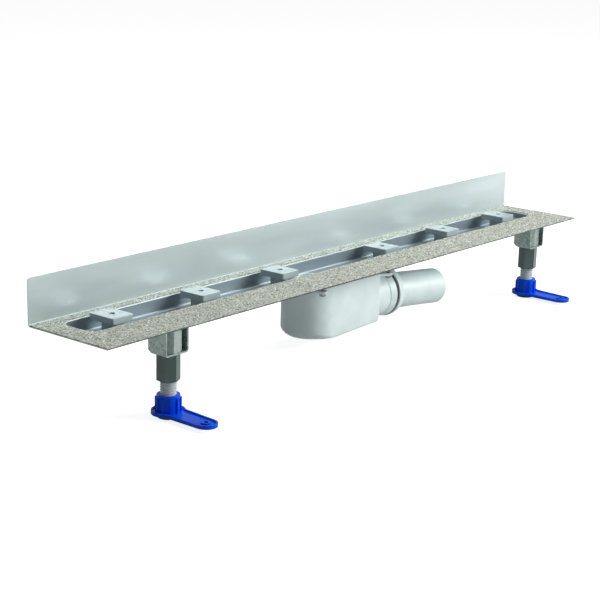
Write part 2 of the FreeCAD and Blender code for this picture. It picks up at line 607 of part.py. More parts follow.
def foot_base(x):
    """Plate with a raised rim, ribbed hub with a snap ridge for the rod, and a bossed hole in the tongue."""
    hole_y = -(TONGUE_LENGTH - TONGUE_TIP)
    plate = base_outline(0, BASE_UNDER, BASE_TOP)
    plate = plate.cut(base_outline(BASE_RIM, BASE_TOP - BASE_POCKET, BASE_TOP + 1))
    boss = cylinder(TONGUE_BOSS, 0, hole_y, BASE_UNDER, BASE_TOP)
    hub = cylinder(HUB_RADIUS, 0, 0, BASE_UNDER, HUB_TOP)
    hub = hub.makeChamfer(HUB_CHAMFER, edges_at_level(hub, HUB_TOP))
    ribs = []
    for k in range(HUB_RIBS):
        rib = box(HUB_RADIUS - 2 * HUB_CHAMFER, HUB_RADIUS + HUB_RIB, -HUB_RIB_WIDTH / 2, HUB_RIB_WIDTH / 2,
                  BASE_UNDER, HUB_TOP - 2 * HUB_CHAMFER)
        rib.rotate(V(0, 0, 0), V(0, 0, 1), 360 * (k + 0.5) / HUB_RIBS)
        ribs.append(rib)
    base = fused([plate, boss, hub] + ribs)
    low, high = groove_levels()
    play = ROD_RADIUS + THREAD_PLAY
    base = base.cut(cylinder(play, 0, 0, ROD_UNDER, HUB_TOP + 1))
    ridge = tube(play + 1, ROD_RADIUS - ROD_GROOVE + THREAD_PLAY, 0, 0,
                 low + STUD_CLEARANCE, high - STUD_CLEARANCE)
    base = fused([base, ridge]).cut(cylinder(TONGUE_HOLE, 0, hole_y, BASE_UNDER - 1, BASE_TOP + 1))
    base.rotate(V(0, 0, 0), V(0, 0, 1), FOOT_TURN)
    base.translate(V(x, FOOT_Y, 0))
    return base


def foot_pad(x):
    pad = cylinder(PAD_RADIUS, x, FOOT_Y, BASE_UNDER - PAD_THICKNESS, BASE_UNDER)
    return pad.makeFillet(PAD_THICKNESS / 3, edges_at_level(pad, BASE_UNDER - PAD_THICKNESS))


parts = {
    "channel_body": channel_body(),
    "flange_sand_coat": flange_sand_coat(),
    "support_studs": support_studs(),
    "trap_housing": trap_housing(),
    "trap_lid": trap_lid(),
    "trap_studs": trap_studs(),
    "trap_nuts": trap_nuts(),
    "inlet_gasket": inlet_gasket(),
    "inlet_ring": inlet_ring(),
    "insert_seal": insert_seal(),
    "odour_trap_insert": odour_trap_insert(),
    "outlet_retaining_ring": outlet_retaining_ring(),
    "outlet_ball_seal": outlet_ball_seal(),
    "outlet_wiper_ring": outlet_wiper_ring(),
    "outlet_hood": outlet_hood(),
    "outlet_pipe": outlet_pipe(),
}
for index, (place, rise) in enumerate(zip(support_places(), SUPPORT_TOPS)):
    parts["cover_support_%d" % (index + 1)] = cover_support(place, rise)
for side, x, turn in (("left", -FOOT_X, SLEEVE_TURNS[0]), ("right", FOOT_X, SLEEVE_TURNS[1])):
    parts[side + "_foot_bracket"] = foot_bracket(x)
    parts[side + "_leg_locknut"] = leg_locknut(x)
    parts[side + "_leg_sleeve"] = leg_sleeve(x, turn)
    parts[side + "_leg_rod"] = leg_rod(x)
    parts[side + "_foot_base"] = foot_base(x)
    parts[side + "_foot_pad"] = foot_pad(x)

for name, shape in parts.items():
    assert shape.isValid(), name
    shape.exportStep("parts/%s.step" % name)
    limits = shape.BoundBox
    lowest = [round(v, 2) for v in (limits.XMin, limits.YMin, limits.ZMin)]
    highest = [round(v, 2) for v in (limits.XMax, limits.YMax, limits.ZMax)]
    print(name, len(shape.Solids), "solids", round(shape.Volume / 1000, 2), "cm3", lowest, highest)
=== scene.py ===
"""Looks, light and camera of a wall-side channel drain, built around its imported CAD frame."""

import json
import logging
import math
from dataclasses import dataclass
from enum import Enum
from typing import Callable

import bmesh
import bpy
from mathutils import Matrix, Vector


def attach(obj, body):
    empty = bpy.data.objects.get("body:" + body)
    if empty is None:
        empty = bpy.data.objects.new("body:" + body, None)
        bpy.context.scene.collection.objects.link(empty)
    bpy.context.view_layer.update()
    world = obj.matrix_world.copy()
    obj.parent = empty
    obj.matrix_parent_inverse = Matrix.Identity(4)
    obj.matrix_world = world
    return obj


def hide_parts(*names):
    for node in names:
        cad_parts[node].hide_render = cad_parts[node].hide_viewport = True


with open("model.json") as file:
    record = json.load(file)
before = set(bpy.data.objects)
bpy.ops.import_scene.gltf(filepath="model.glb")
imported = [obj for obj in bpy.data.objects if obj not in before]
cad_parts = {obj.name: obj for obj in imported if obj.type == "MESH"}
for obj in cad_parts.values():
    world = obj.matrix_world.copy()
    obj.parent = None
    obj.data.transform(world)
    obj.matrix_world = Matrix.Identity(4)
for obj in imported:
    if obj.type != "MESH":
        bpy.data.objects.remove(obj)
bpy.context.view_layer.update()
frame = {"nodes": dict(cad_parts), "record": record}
LOG = logging.getLogger("channel_drain")
Tree, Node, Socket = bpy.types.NodeTree, bpy.types.Node, bpy.types.NodeSocket
Test = Callable[[Vector, Vector], bool]
Share = Callable[[Vector, Vector], float]
Stops = tuple[tuple[float, str], ...]
X, Y, Z = Vector((1, 0, 0)), Vector((0, 1, 0)), Vector((0, 0, 1))
MM = 0.001
# Tolerances in millimetres: two places are one, points are welded, a point lies on a level, beside an
# outline, and near a place.
TOUCH, WELD, LEVEL, SLACK, CLOSE = 0.001, 0.002, 0.01, 0.5, 1.0
# A direction's share of an axis: it lies nearly along it, or nearly across.
ALONG, ACROSS = 0.9, 0.1
# Soft noise keeps mostly between these two of its values from 0 to 1.
FAINT, STRONG = 0.3, 0.7


class Pick(Enum):
    """What is selected in edit mode, with the tool setting for it."""

    POINTS = (True, False, False)
    EDGES = (False, True, False)
    FACES = (False, False, True)


class Blend(Enum):
    """How two workpieces are put together."""

    CUT = "DIFFERENCE"
    WELD = "UNION"
    COMMON = "INTERSECT"


def deselect() -> None:
    """Leaves edit mode and selects nothing."""
    if bpy.context.mode != "OBJECT":
        bpy.ops.object.mode_set(mode="OBJECT")
    bpy.ops.object.select_all(action="DESELECT")


class Workpiece:
    """One mesh while it is shaped with edit-mode tools. Sizes are millimetres in the drain's frame."""

    def __init__(self, name: str) -> None:
        """Takes over the primitive that was just added.

        Args:
            name: the piece's name.
        """
        self.obj = bpy.context.active_object
        self.obj.name = name
        self.obj.data.name = name

    @classmethod
    def block(cls, name: str, low: Vector, high: Vector) -> "Workpiece":
        """Starts from a box.

        Args:
            name: the piece's name.
            low: its lowest corner.
            high: its highest corner.
        Returns:
            The workpiece, in edit mode.
        """
        deselect()
        bpy.ops.mesh.primitive_cube_add(size=1, location=(low + high) / 2 * MM, scale=(high - low) * MM)
        return cls(name).settle()

    @classmethod
    def prism(cls, name: str, foot: Vector, radius: float, height: float, sides: int,
              turn: float = 0.0) -> "Workpiece":
        """Starts from an upright prism with many or few sides.

        Args:
            name: the piece's name.
            foot: the middle of its underside.
            radius: from the axis to a corner.
            height: along Z.
            sides: how many there are.
            turn: degrees about Z; at 0 a corner points along +Y.
        Returns:
            The workpiece, in edit mode.
        """
        deselect()
        bpy.ops.mesh.primitive_cylinder_add(vertices=sides, radius=radius * MM, depth=height * MM,
                                            location=(foot + Z * (height / 2)) * MM,
                                            rotation=(0, 0, math.radians(turn)))
        return cls(name).settle()

    @classmethod
    def chain(cls, name: str, origin: Vector, points: list[Vector], closed: bool = False) -> "Workpiece":
        """Starts from one point that is extruded into a chain of edges.

        Args:
            name: the piece's name.
            origin: where the object's own origin stands.
            points: the chain's points, measured from the origin.
            closed: whether the last point is joined to the first.
        Returns:
            The workpiece, in edit mode, with its origin still at the given place.
        """
        deselect()
        bpy.ops.mesh.primitive_plane_add(size=MM, location=origin * MM)
        piece = cls(name)
        bpy.ops.object.mode_set(mode="EDIT")
        bpy.context.tool_settings.mesh_select_mode = Pick.POINTS.value
        piece.whole()
        bpy.ops.mesh.merge(type="CENTER")
        bpy.ops.transform.translate(value=points[0] * MM)
        for start, end in zip(points, points[1:]):
            bpy.ops.mesh.extrude_vertices_move(TRANSFORM_OT_translate={"value": (end - start) * MM})
        if closed:
            ends = (points[0], points[-1])
            piece.pick(Pick.POINTS, lambda p, d: any((p - origin - e).length < TOUCH for e in ends))
            bpy.ops.mesh.edge_face_add()
        return piece

    @classmethod
    def turned(cls, name: str, origin: Vector, axis: Vector, profile: list[tuple[float, float]],
               steps: int = 96) -> "Workpiece":
        """Turns a closed profile about an axis, as on a lathe.

        Args:
            name: the piece's name.
            origin: a point on the axis.
            axis: its direction, of length one.
            profile: pairs of the way along the axis and the radius.
            steps: how many there are in the full turn.
        Returns:
            The workpiece, in edit mode.
        """
        side = axis.orthogonal().normalized()
        points = [axis * along + side * radius for along, radius in profile]
        piece = cls.chain(name, origin, points, closed=True).whole()
        bpy.ops.mesh.spin(steps=steps, angle=2 * math.pi, center=origin * MM, axis=axis)
        piece.whole()
        bpy.ops.mesh.remove_doubles(threshold=WELD * MM)
        return piece.outward().settle()

    @classmethod
    def threaded(cls, name: str, foot: Vector, length: float, thread: "Thread") -> "Workpiece":
        """Cuts a screw thread by sweeping one tooth up a helix, and trims both ends flat.

        Args:
            name: the piece's name.
            foot: the middle of the rod's lower end.
            length: the rod's length.
            thread: its sizes.
        Returns:
            The workpiece, in edit mode.
        """
        turns = math.ceil(length / thread.pitch) + 2
        tooth = [Vector((radius, 0, rise - thread.pitch)) for rise, radius in thread.tooth()]
        piece = cls.chain(name, foot, tooth)
        piece.modify("SCREW", axis="Z", angle=2 * math.pi, screw_offset=thread.pitch * MM, iterations=turns,
                     steps=thread.steps, render_steps=thread.steps, use_merge_vertices=True,
                     merge_threshold=WELD * MM)
        return piece.trim(foot, -Z).trim(foot + Z * length, Z).outward()

    @classmethod
    def plate(cls, name: str, outline: list[Vector], depth: Vector) -> "Workpiece":
        """Fills a closed outline and extrudes it.

        Args:
            name: the piece's name.
            outline: the outline's corners.
            depth: how far and which way it goes.
        Returns:
            The workpiece, in edit mode.
        """
        piece = cls.chain(name, Vector((0, 0, 0)), outline, closed=True).whole()
        bpy.ops.mesh.edge_face_add()
        return piece.extrude(depth).outward().settle()

    def whole(self) -> "Workpiece":
        """Selects the whole mesh."""
        bpy.ops.mesh.select_all(action="SELECT")
        return self

    def hold(self) -> None:
        """Leaves edit mode and makes this the only selected object, and the active one."""
        deselect()
        self.obj.select_set(True)
        bpy.context.view_layer.objects.active = self.obj

    def outward(self) -> "Workpiece":
        """Turns every face outwards.

        Returns:
            The workpiece, in edit mode.
        """
        self.whole()
        bpy.ops.mesh.normals_make_consistent(inside=False)
        return self

    def settle(self) -> "Workpiece":
        """Puts the object's place into its mesh.

        Returns:
            The workpiece, in edit mode.
        """
        self.hold()
        bpy.ops.object.transform_apply(location=True, rotation=True, scale=True)
        bpy.ops.object.mode_set(mode="EDIT")
        return self

    def pick(self, kind: Pick, test: Test) -> "Workpiece":
        """Selects what passes a test and nothing else.

        Args:
            kind: points, edges or faces.
            test: takes the middle in millimetres, and the normal, or an edge's direction.
        Returns:
            The workpiece, in edit mode.
        """
        bpy.context.tool_settings.mesh_select_mode = kind.value
        bpy.ops.mesh.select_all(action="DESELECT")
        mesh = bmesh.from_edit_mesh(self.obj.data)
        place = self.obj.matrix_world
        for item in {Pick.POINTS: mesh.verts, Pick.EDGES: mesh.edges, Pick.FACES: mesh.faces}[kind]:
            if kind is Pick.POINTS:
                middle, direction = item.co, item.normal
            elif kind is Pick.EDGES:
                middle = (item.verts[0].co + item.verts[1].co) / 2
                direction = (item.verts[1].co - item.verts[0].co).normalized()
            else:
                middle, direction = item.calc_center_median(), item.normal
            if test((place @ middle) / MM, direction):
                item.select_set(True)
        bmesh.update_edit_mesh(self.obj.data)
        return self

    def extrude(self, move: Vector) -> "Workpiece":
        """Extrudes the selected faces or edges by a move in millimetres."""
        bpy.ops.mesh.extrude_region_move(TRANSFORM_OT_translate={"value": move * MM})
        return self

    def inset(self, thickness: float, depth: float = 0.0) -> "Workpiece":
        """Insets the selected faces, and raises or sinks them where a depth is given."""
        bpy.ops.mesh.inset(thickness=thickness * MM, depth=depth * MM)
        return self

    def push(self, distance: float) -> "Workpiece":
        """Extrudes each selected face by itself along its own normal."""
        bpy.ops.mesh.extrude_faces_move(TRANSFORM_OT_shrink_fatten={"value": distance * MM})
        return self

    def repeat(self, steps: list[Vector]) -> "Workpiece":
        """Copies the selected mesh again and again.

        Args:
            steps: how far each copy stands from the last.
        Returns:
            The workpiece, with the last copy selected.
        """
        for step in steps:
            bpy.ops.mesh.duplicate_move(TRANSFORM_OT_translate={"value": step * MM})
        return self

    def rotate(self, angle: float, centre: Vector) -> "Workpiece":
        """Turns the whole mesh about an upright axis.

        Args:
            angle: in degrees, clockwise from above, which is how the tool counts with no window.
            centre: a point on the axis.
        Returns:
            The workpiece, in edit mode.
        """
        self.whole()
        bpy.ops.transform.rotate(value=math.radians(angle), orient_axis="Z", center_override=centre * MM)
        return self

    def graded_bevel(self, width: float, segments: int, share: Share) -> "Workpiece":
        """Rounds edges that each have their own share of a width.

        Args:
            width: the full width in millimetres.
            segments: how many strips the rounding has.
            share: gives the share for an edge's middle in millimetres and its direction.
        Returns:
            The workpiece, in edit mode.
        """
        mesh = bmesh.from_edit_mesh(self.obj.data)
        layer = mesh.edges.layers.float.new("bevel_weight_edge")
        for edge in mesh.edges:
            ends = [v.co for v in edge.verts]
            edge[layer] = share((ends[0] + ends[1]) / 2 / MM, (ends[1] - ends[0]).normalized())
        bmesh.update_edit_mesh(self.obj.data)
        return self.modify("BEVEL", width=width * MM, segments=segments, limit_method="WEIGHT",
                           use_clamp_overlap=False)

    def bevel(self, width: float, segments: int) -> "Workpiece":
        """Rounds the selected edges."""
        bpy.ops.mesh.bevel(offset=width * MM, segments=segments, affect="EDGES", clamp_overlap=False)
        return self

    def bisect(self, place: Vector, normal: Vector) -> "Workpiece":
        """Cuts new edges where a plane crosses the mesh.

        Args:
            place: a point on the plane.
            normal: the plane's normal.
        Returns:
            The workpiece, in edit mode.
        """
        self.whole()
        bpy.ops.mesh.bisect(plane_co=place * MM, plane_no=normal)
        return self

    def trim(self, place: Vector, outward: Vector) -> "Workpiece":
        """Removes what lies beyond a plane and closes the cut.

        Args:
            place: a point on the plane.
            outward: the plane's normal, towards what is removed.
        Returns:
            The workpiece, in edit mode.
        """
        self.whole()
        bpy.ops.mesh.bisect(plane_co=place * MM, plane_no=outward, use_fill=True, clear_outer=True,
                            threshold=TOUCH * MM)
        return self

    def modify(self, kind: str, **settings: object) -> "Workpiece":
        """Adds a modifier and applies it at once.

        Args:
            kind: Blender's name for the modifier's type.
            settings: the modifier's own settings.
        Returns:
            The workpiece, in edit mode.
        """
        self.hold()
        modifier = self.obj.modifiers.new(kind.lower(), kind)
        for key, value in settings.items():
            setattr(modifier, key, value)
        bpy.ops.object.modifier_apply(modifier=modifier.name)
        return self.settle()

    def join(self, other: "Workpiece", how: Blend) -> "Workpiece":
        """Puts this workpiece together with another, which is used up.

        Args:
            other: the other workpiece.
            how: whether it is cut away, welded on or only what both share is kept.
        Returns:
            The workpiece, in edit mode.
        """
        self.modify("BOOLEAN", operation=how.value, object=other.obj, solver="EXACT")
        bpy.data.objects.remove(other.obj)
        return self

    def bore(self, middle: Vector, axis: Vector, radius: float, depth: float,
             sides: int = 48) -> "Workpiece":
        """Drills a round hole right through.

        Args:
            middle: the middle of the drill.
            axis: its direction.
            radius: the hole's radius.
            depth: the drill's length.
            sides: how many the hole has.
        Returns:
            The workpiece, in edit mode.
        """
        deselect()
        bpy.ops.mesh.primitive_cylinder_add(vertices=sides, radius=radius * MM, depth=depth * MM,
                                            location=middle * MM,
                                            rotation=axis.to_track_quat("Z", "Y").to_euler())
        return self.join(Workpiece("drill").settle(), Blend.CUT)

    def soften(self, width: float, segments: int = 2, angle: float = 40.0) -> "Workpiece":
        """Rounds every edge that is sharper than an angle in degrees."""
        return self.modify("BEVEL", width=width * MM, segments=segments, limit_method="ANGLE",
                           angle_limit=math.radians(angle), use_clamp_overlap=True)

    def done(self, finish: "Finish", body: str, *nodes: str, smooth: float = 35.0) -> bpy.types.Object:
        """Ends the shaping, dresses the piece and lets it ride on its body.

        Args:
            finish: what its surface is.
            body: the CAD body it moves with.
            nodes: the CAD nodes it stands for.
            smooth: the angle in degrees up to which neighbouring faces shade as one.
        Returns:
            The finished object.
        """
        self.hold()
        bpy.ops.object.shade_smooth_by_angle(angle=math.radians(smooth))
        even = self.obj.modifiers.new("even shading", "WEIGHTED_NORMAL")
        even.keep_sharp = True
        bpy.ops.object.modifier_apply(modifier=even.name)
        return hand_over(self.obj, finish, body, *nodes)


def hand_over(obj: bpy.types.Object, finish: "Finish", body: str, *nodes: str) -> bpy.types.Object:
    """Gives a shaped mesh its finish, its body and the nodes that it stands for.

    Args:
        obj: the mesh.
        finish: what its surface is.
        body: the CAD body it moves with.
        nodes: the CAD nodes it stands for.
    Returns:
        The same object.
    """
    obj.data.materials.clear()
    obj.data.materials.append(finish.material())
    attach(obj, body)
    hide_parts(*nodes)
    LOG.info("%s: %d faces, stands for %s", obj.name, len(obj.data.polygons), ", ".join(nodes))
    return obj


def copied(obj: bpy.types.Object, name: str, move: Vector, finish: "Finish", body: str,
           *nodes: str) -> bpy.types.Object:
    """Copies a finished piece, with a mesh of its own, to another place.

    Args:
        obj: the piece to copy.
        name: the copy's name.
        move: how far it goes, in millimetres.
        finish: what its surface is.
        body: the CAD body it moves with.
        nodes: the CAD nodes it stands for.
    Returns:
        The copy.
    """
    twin = bpy.data.objects.new(name, obj.data.copy())
    twin.data.name = name
    twin.data.transform(Matrix.Translation(move * MM))
    bpy.context.scene.collection.objects.link(twin)
    return hand_over(twin, finish, body, *nodes)


@dataclass(frozen=True)
class Thread:
    """A screw thread's sizes in millimetres."""

    radius: float
    depth: float
    pitch: float
    steps: int

    def tooth(self) -> list[tuple[float, float]]:
        """Draws one tooth.

        Returns:
            Pairs of rise and radius: a flat root, a flank, a narrow crest, a flank and a flat root.
        """
        crest, root = self.radius, self.radius - self.depth
        shares = ((0.0, root), (0.12, root), (0.42, crest), (0.58, crest), (0.88, root), (1.0, root))
        return [(share * self.pitch, radius) for share, radius in shares]


def linear(hex_colour: str) -> tuple[float, float, float, float]:
    """Turns an sRGB hex colour to the linear values that shaders take.

    Args:
        hex_colour: such as "#B0BAB8".
    Returns:
        Red, green, blue and a full alpha.
    """
    parts = [int(hex_colour[i:i + 2], 16) / 255 for i in (1, 3, 5)]
    red, green, blue = [p / 12.92 if p <= 0.04045 else ((p + 0.055) / 1.055) ** 2.4 for p in parts]
    return red, green, blue, 1.0


def cube(size: float) -> Vector:
    """The same size along X, Y and Z."""
    return Vector((size, size, size))


def add_node(tree: Tree, kind: str, settings: dict | None = None, inputs: dict | None = None,
             stops: Stops = ()) -> Node:
    """Adds a shader node with its settings, links and colours.

    Args:
        tree: the material's nodes.
        kind: the node's type, without the ShaderNode that each one starts with.
        settings: the node's own properties.
        inputs: socket names or numbers, each with a value or an output to link.
        stops: places and sRGB hex colours, where the node is a colour ramp.
    Returns:
        The node.
    """
    node = tree.nodes.new("ShaderNode" + kind)
    for key, value in (settings or {}).items():
        setattr(node, key, value)
    for key, value in (inputs or {}).items():
        if isinstance(value, Socket):
            tree.links.new(value, node.inputs[key])
        else:
            node.inputs[key].default_value = value
    if stops:
        while len(node.color_ramp.elements) < len(stops):
            node.color_ramp.elements.new(1.0)
        for element, (place, colour) in zip(node.color_ramp.elements, stops):
            element.position = place
            element.color = linear(colour)
    return node


@dataclass(frozen=True)
class Finish:
    """A real surface: its name, the record's slot for it, and the values that hold all over it."""

    name: str
    slot: str
    colour: str
    roughness: float

    def material(self) -> bpy.types.Material:
        """Makes the material once, and finds the same one after that.

        Returns:
            The material.
        """
        made = bpy.data.materials.get(self.name)
        if made:
            return made
        made = bpy.data.materials.new(self.name)
        made.use_nodes = True
        shader = made.node_tree.nodes["Principled BSDF"]
        shader.inputs["Base Color"].default_value = linear(self.colour)
        shader.inputs["Roughness"].default_value = self.roughness
        self.dress(made.node_tree, shader)
        return made

    def dress(self, tree: Tree, shader: Node) -> None:
        """Adds what this finish shows beyond one colour.

        Args:
            tree: the material's nodes.
            shader: its Principled shader.
        """
        raise NotImplementedError

    def scaled(self, tree: Tree, size: Vector) -> Socket:
        """Gives object coordinates in units of a pattern's real size.

        Args:
            tree: the material's nodes.
            size: the pattern's size along X, Y and Z in millimetres.
        Returns:
            The coordinates.
        """
        place = add_node(tree, "TexCoord").outputs["Object"]
        scale = Vector((1 / (size.x * MM), 1 / (size.y * MM), 1 / (size.z * MM)))
        return add_node(tree, "Mapping", {}, {"Vector": place, "Scale": scale}).outputs["Vector"]

    def noise(self, tree: Tree, size: Vector, detail: float) -> Socket:
        """Soft noise of a real size in millimetres."""
        inputs = {"Vector": self.scaled(tree, size), "Scale": 1.0, "Detail": detail}
        return add_node(tree, "TexNoise", {}, inputs).outputs["Fac"]

    def crumbs(self, tree: Tree, size: float) -> tuple[Socket, Socket]:
        """Packs the surface with grains or crystals of a real size.

        Args:
            tree: the material's nodes.
            size: from one to the next, in millimetres.
        Returns:
            A number that each has to itself, and the distance from its middle.
        """
        cells = add_node(tree, "TexVoronoi", {}, {"Vector": self.scaled(tree, cube(size)), "Scale": 1.0})
        number = add_node(tree, "SeparateColor", {}, {"Color": cells.outputs["Color"]}).outputs[0]
        return number, cells.outputs["Distance"]

    def tint(self, tree: Tree, shader: Node, factor: Socket, stops: Stops) -> None:
        """Lets the colour follow a factor through stops of sRGB hex colours."""
        colours = add_node(tree, "ValToRGB", {}, {"Fac": factor}, stops)
        tree.links.new(colours.outputs["Color"], shader.inputs["Base Color"])

    def shine(self, tree: Tree, shader: Node, factor: Socket, low: float, high: float) -> None:
        """Lets the roughness follow a factor from 0 to 1, between two values."""
        rough = add_node(tree, "MapRange", {}, {"Value": factor, "To Min": low, "To Max": high})
        tree.links.new(rough.outputs["Result"], shader.inputs["Roughness"])

    def relief(self, tree: Tree, shader: Node, height: Socket, depth: float, strength: float) -> None:
        """Bumps the surface by a height whose full range is a depth in millimetres."""
        bump = add_node(tree, "Bump", {}, {"Height": height, "Distance": depth * MM, "Strength": strength})
        tree.links.new(bump.outputs["Normal"], shader.inputs["Normal"])


@dataclass(frozen=True)
class BrushedSteel(Finish):
    """Cold-rolled stainless sheet, brushed along its length.

    It gives the eye a pale silky metal with long faint lines; its slow patches are partly painted
    reflection.
    """

    low: str
    high: str
    metallic: float
    line_length: float = 90.0
    line_width: float = 0.7
    line_depth: float = 0.012
    mottle_and_reflection_size: float = 60.0
    mottle_and_reflection_stretch: float = 6.0
    mottle_and_reflection_share: float = 0.8
    smoother: float = 0.08
    rougher: float = 0.1

    def dress(self, tree: Tree, shader: Node) -> None:
        """Draws the brush lines; real ones are about 0.05 mm wide, and wider here so that they show.

        Args:
            tree: the material's nodes.
            shader: its Principled shader.
        """
        shader.inputs["Metallic"].default_value = self.metallic
        line = Vector((self.line_length, self.line_width, self.line_width))
        # The slow patches are partly random tone of the sheet and partly painted reflection of the
        # surroundings.
        mottle_and_reflection_size = Vector((self.mottle_and_reflection_stretch * self.mottle_and_reflection_size, self.mottle_and_reflection_size, self.mottle_and_reflection_size))
        lines, mottle_and_reflection = self.noise(tree, line, detail=4.0), self.noise(tree, mottle_and_reflection_size, detail=2.0)
        mix = {0: self.mottle_and_reflection_share, 2: lines, 3: mottle_and_reflection}
        both = add_node(tree, "Mix", {"data_type": "FLOAT"}, mix).outputs[0]
        self.tint(tree, shader, both, ((FAINT, self.low), (STRONG, self.high)))
        self.shine(tree, shader, both, self.roughness - self.smoother, self.roughness + self.rougher)
        self.relief(tree, shader, lines, self.line_depth, strength=0.4)


@dataclass(frozen=True)
class QuartzGrit(Finish):
    """Quartz sand bonded with resin.

    It gives the eye a warm grey speckle of pale, clear and dark grains that stand up from the sheet.
    """

    grain: float = 1.5
    grains: Stops = ((0.0, "#6E746B"), (0.10, "#A3AAA0"), (0.30, "#C4CABF"), (0.60, "#D9DED5"),
                     (0.84, "#EDF0EA"), (0.95, "#FFFFFF"))
    patch: float = 9.0
    patches: Stops = ((FAINT, "#E4E7E0"), (STRONG, "#FFFFFF"))
    dull: float = 0.95

    def dress(self, tree: Tree, shader: Node) -> None:
        """Draws the grains; real ones are 0.4 to 1.2 mm, and a little coarser here so that they show.

        Args:
            tree: the material's nodes.
            shader: its Principled shader.
        """
        number, distance = self.crumbs(tree, self.grain)
        grains = add_node(tree, "ValToRGB", {}, {"Fac": number}, self.grains)
        grains.color_ramp.interpolation = "CONSTANT"
        patches = self.noise(tree, cube(self.patch), detail=3.0)
        shade = add_node(tree, "ValToRGB", {}, {"Fac": patches}, self.patches)
        colour = add_node(tree, "Mix", {"data_type": "RGBA", "blend_type": "MULTIPLY"},
                          {0: 1.0, 6: grains.outputs["Color"], 7: shade.outputs["Color"]})
        tree.links.new(colour.outputs[2], shader.inputs["Base Color"])
        self.shine(tree, shader, number, self.dull, self.roughness)
        domes = add_node(tree, "Math", {"operation": "SUBTRACT"}, {0: 1.0, 1: distance})
        self.relief(tree, shader, domes.outputs[0], self.grain / 2, strength=0.9)


@dataclass(frozen=True)
class MouldedPlastic(Finish):
    """Injection-moulded plastic with a fine spark-eroded grain.

    It gives the eye a soft even sheen, slightly uneven where the melt has shrunk.
    """

    dark: str
    grain: float = 0.5
    depth: float = 0.02
    sink: float = 25.0
    swing: float = 0.06
    glow: float = 0.0
    glow_reach: float = 2.0
    gloss: float = 0.5

    def dress(self, tree: Tree, shader: Node) -> None:
        """Draws the mould's grain and the slow unevenness of the colour.

        Args:
            tree: the material's nodes.
            shader: its Principled shader.
        """
        slow = self.noise(tree, cube(self.sink), detail=2.0)
        self.tint(tree, shader, slow, ((FAINT, self.dark), (STRONG, self.colour)))
        fine = self.noise(tree, cube(self.grain), detail=2.0)
        self.shine(tree, shader, fine, self.roughness - self.swing, self.roughness + self.swing)
        shader.inputs["Subsurface Weight"].default_value = self.glow
        shader.inputs["Subsurface Radius"].default_value = cube(self.glow_reach * MM)
        shader.inputs["Subsurface Scale"].default_value = 1.0
        shader.inputs["Specular IOR Level"].default_value = self.gloss
        self.relief(tree, shader, fine, self.depth, strength=0.6)


@dataclass(frozen=True)
class ZincPlate(Finish):
    """Zinc-plated steel.

    It gives the eye a grey-green metal with a faint crystalline mottle.
    """

    dark: str
    metallic: float = 0.8
    crystal: float = 3.0
    swing: float = 0.08
    depth: float = 0.02

    def dress(self, tree: Tree, shader: Node) -> None:
        """Draws the zinc crystals; real ones are 1 to 3 mm across.

        Args:
            tree: the material's nodes.
            shader: its Principled shader.
        """
        shader.inputs["Metallic"].default_value = self.metallic
        number, _ = self.crumbs(tree, self.crystal)
        self.tint(tree, shader, number, ((0.0, self.dark), (1.0, self.colour)))
        self.shine(tree, shader, number, self.roughness - self.swing, self.roughness + self.swing)
        fine = self.noise(tree, cube(self.crystal / 4), detail=3.0)
        self.relief(tree, shader, fine, self.depth, strength=0.5)


@dataclass(frozen=True)
class Rubber(Finish):
    """Moulded black rubber.

    It gives the eye a dull near-black with a dusty bloom.
    """

    bloom: str = "#24282A"
    bloom_from: float = 0.4
    bloom_full: float = 0.75
    bloom_size: float = 4.0
    grain: float = 0.6
    depth: float = 0.03
    smoother: float = 0.05
    rougher: float = 0.15

    def dress(self, tree: Tree, shader: Node) -> None:
        """Draws the bloom in spots of a few millimetres.

        Args:
            tree: the material's nodes.
            shader: its Principled shader.
        """
        bloom = self.noise(tree, cube(self.bloom_size), detail=4.0)
        self.tint(tree, shader, bloom, ((self.bloom_from, self.colour), (self.bloom_full, self.bloom)))
        self.shine(tree, shader, bloom, self.roughness - self.smoother, self.roughness + self.rougher)
        fine = self.noise(tree, cube(self.grain), detail=2.0)
        self.relief(tree, shader, fine, self.depth, strength=0.5)


# The sheet's slow patches are partly painted reflection of the surroundings.
BRUSHED_STAINLESS = BrushedSteel("brushed stainless sheet", "stainless_sheet", "#B8C4C4", 0.48,
                                 low="#AEBBBB", high="#C2CECE", metallic=0.86, mottle_and_reflection_size=45.0)
QUARTZ_COAT = QuartzGrit("quartz grit in resin", "quartz_sand_coat", "#B9B8AD", 0.55)
# Darker than the brushed sheet: painted shade in the trough and in the fold.
SHADED_DRAWN_STAINLESS = BrushedSteel("drawn stainless with painted shade", "stainless_sheet", "#8D9AA0", 0.5, low="#7E8B92",
                               high="#9AA7AD", metallic=0.85, line_length=30.0, line_width=3.0)
# Dark and dull: painted shade along the flange's cut edge.
SHADED_CUT_EDGE = BrushedSteel("stainless cut edge with painted shade", "stainless_sheet", "#5A605C", 0.6, low="#3C423F",
                            high="#5E6662", metallic=0.3, line_length=4.0)
STUD_STEEL = BrushedSteel("rolled stainless thread", "stainless_stud", "#8E9696", 0.3, low="#7C8484",
                          high="#9AA2A2", metallic=1.0, line_length=3.0, line_width=3.0, mottle_and_reflection_size=8.0)
WHITE_PP = MouldedPlastic("moulded white polypropylene", "white_polypropylene", "#E4F3F1", 0.44,
                          dark="#D8E8E6", glow=0.1)
SUPPORT_PLASTIC = MouldedPlastic("moulded blue-grey polyamide", "grey_support_plastic", "#B4C3C6", 0.24,
                                 dark="#A9B9BD")
BLACK_RUBBER = Rubber("moulded black rubber", "black_rubber", "#0E1112", 0.6)
ZINC_STEEL = ZincPlate("zinc-plated steel", "zinc_steel", "#A6B5B0", 0.3, dark="#85948F")
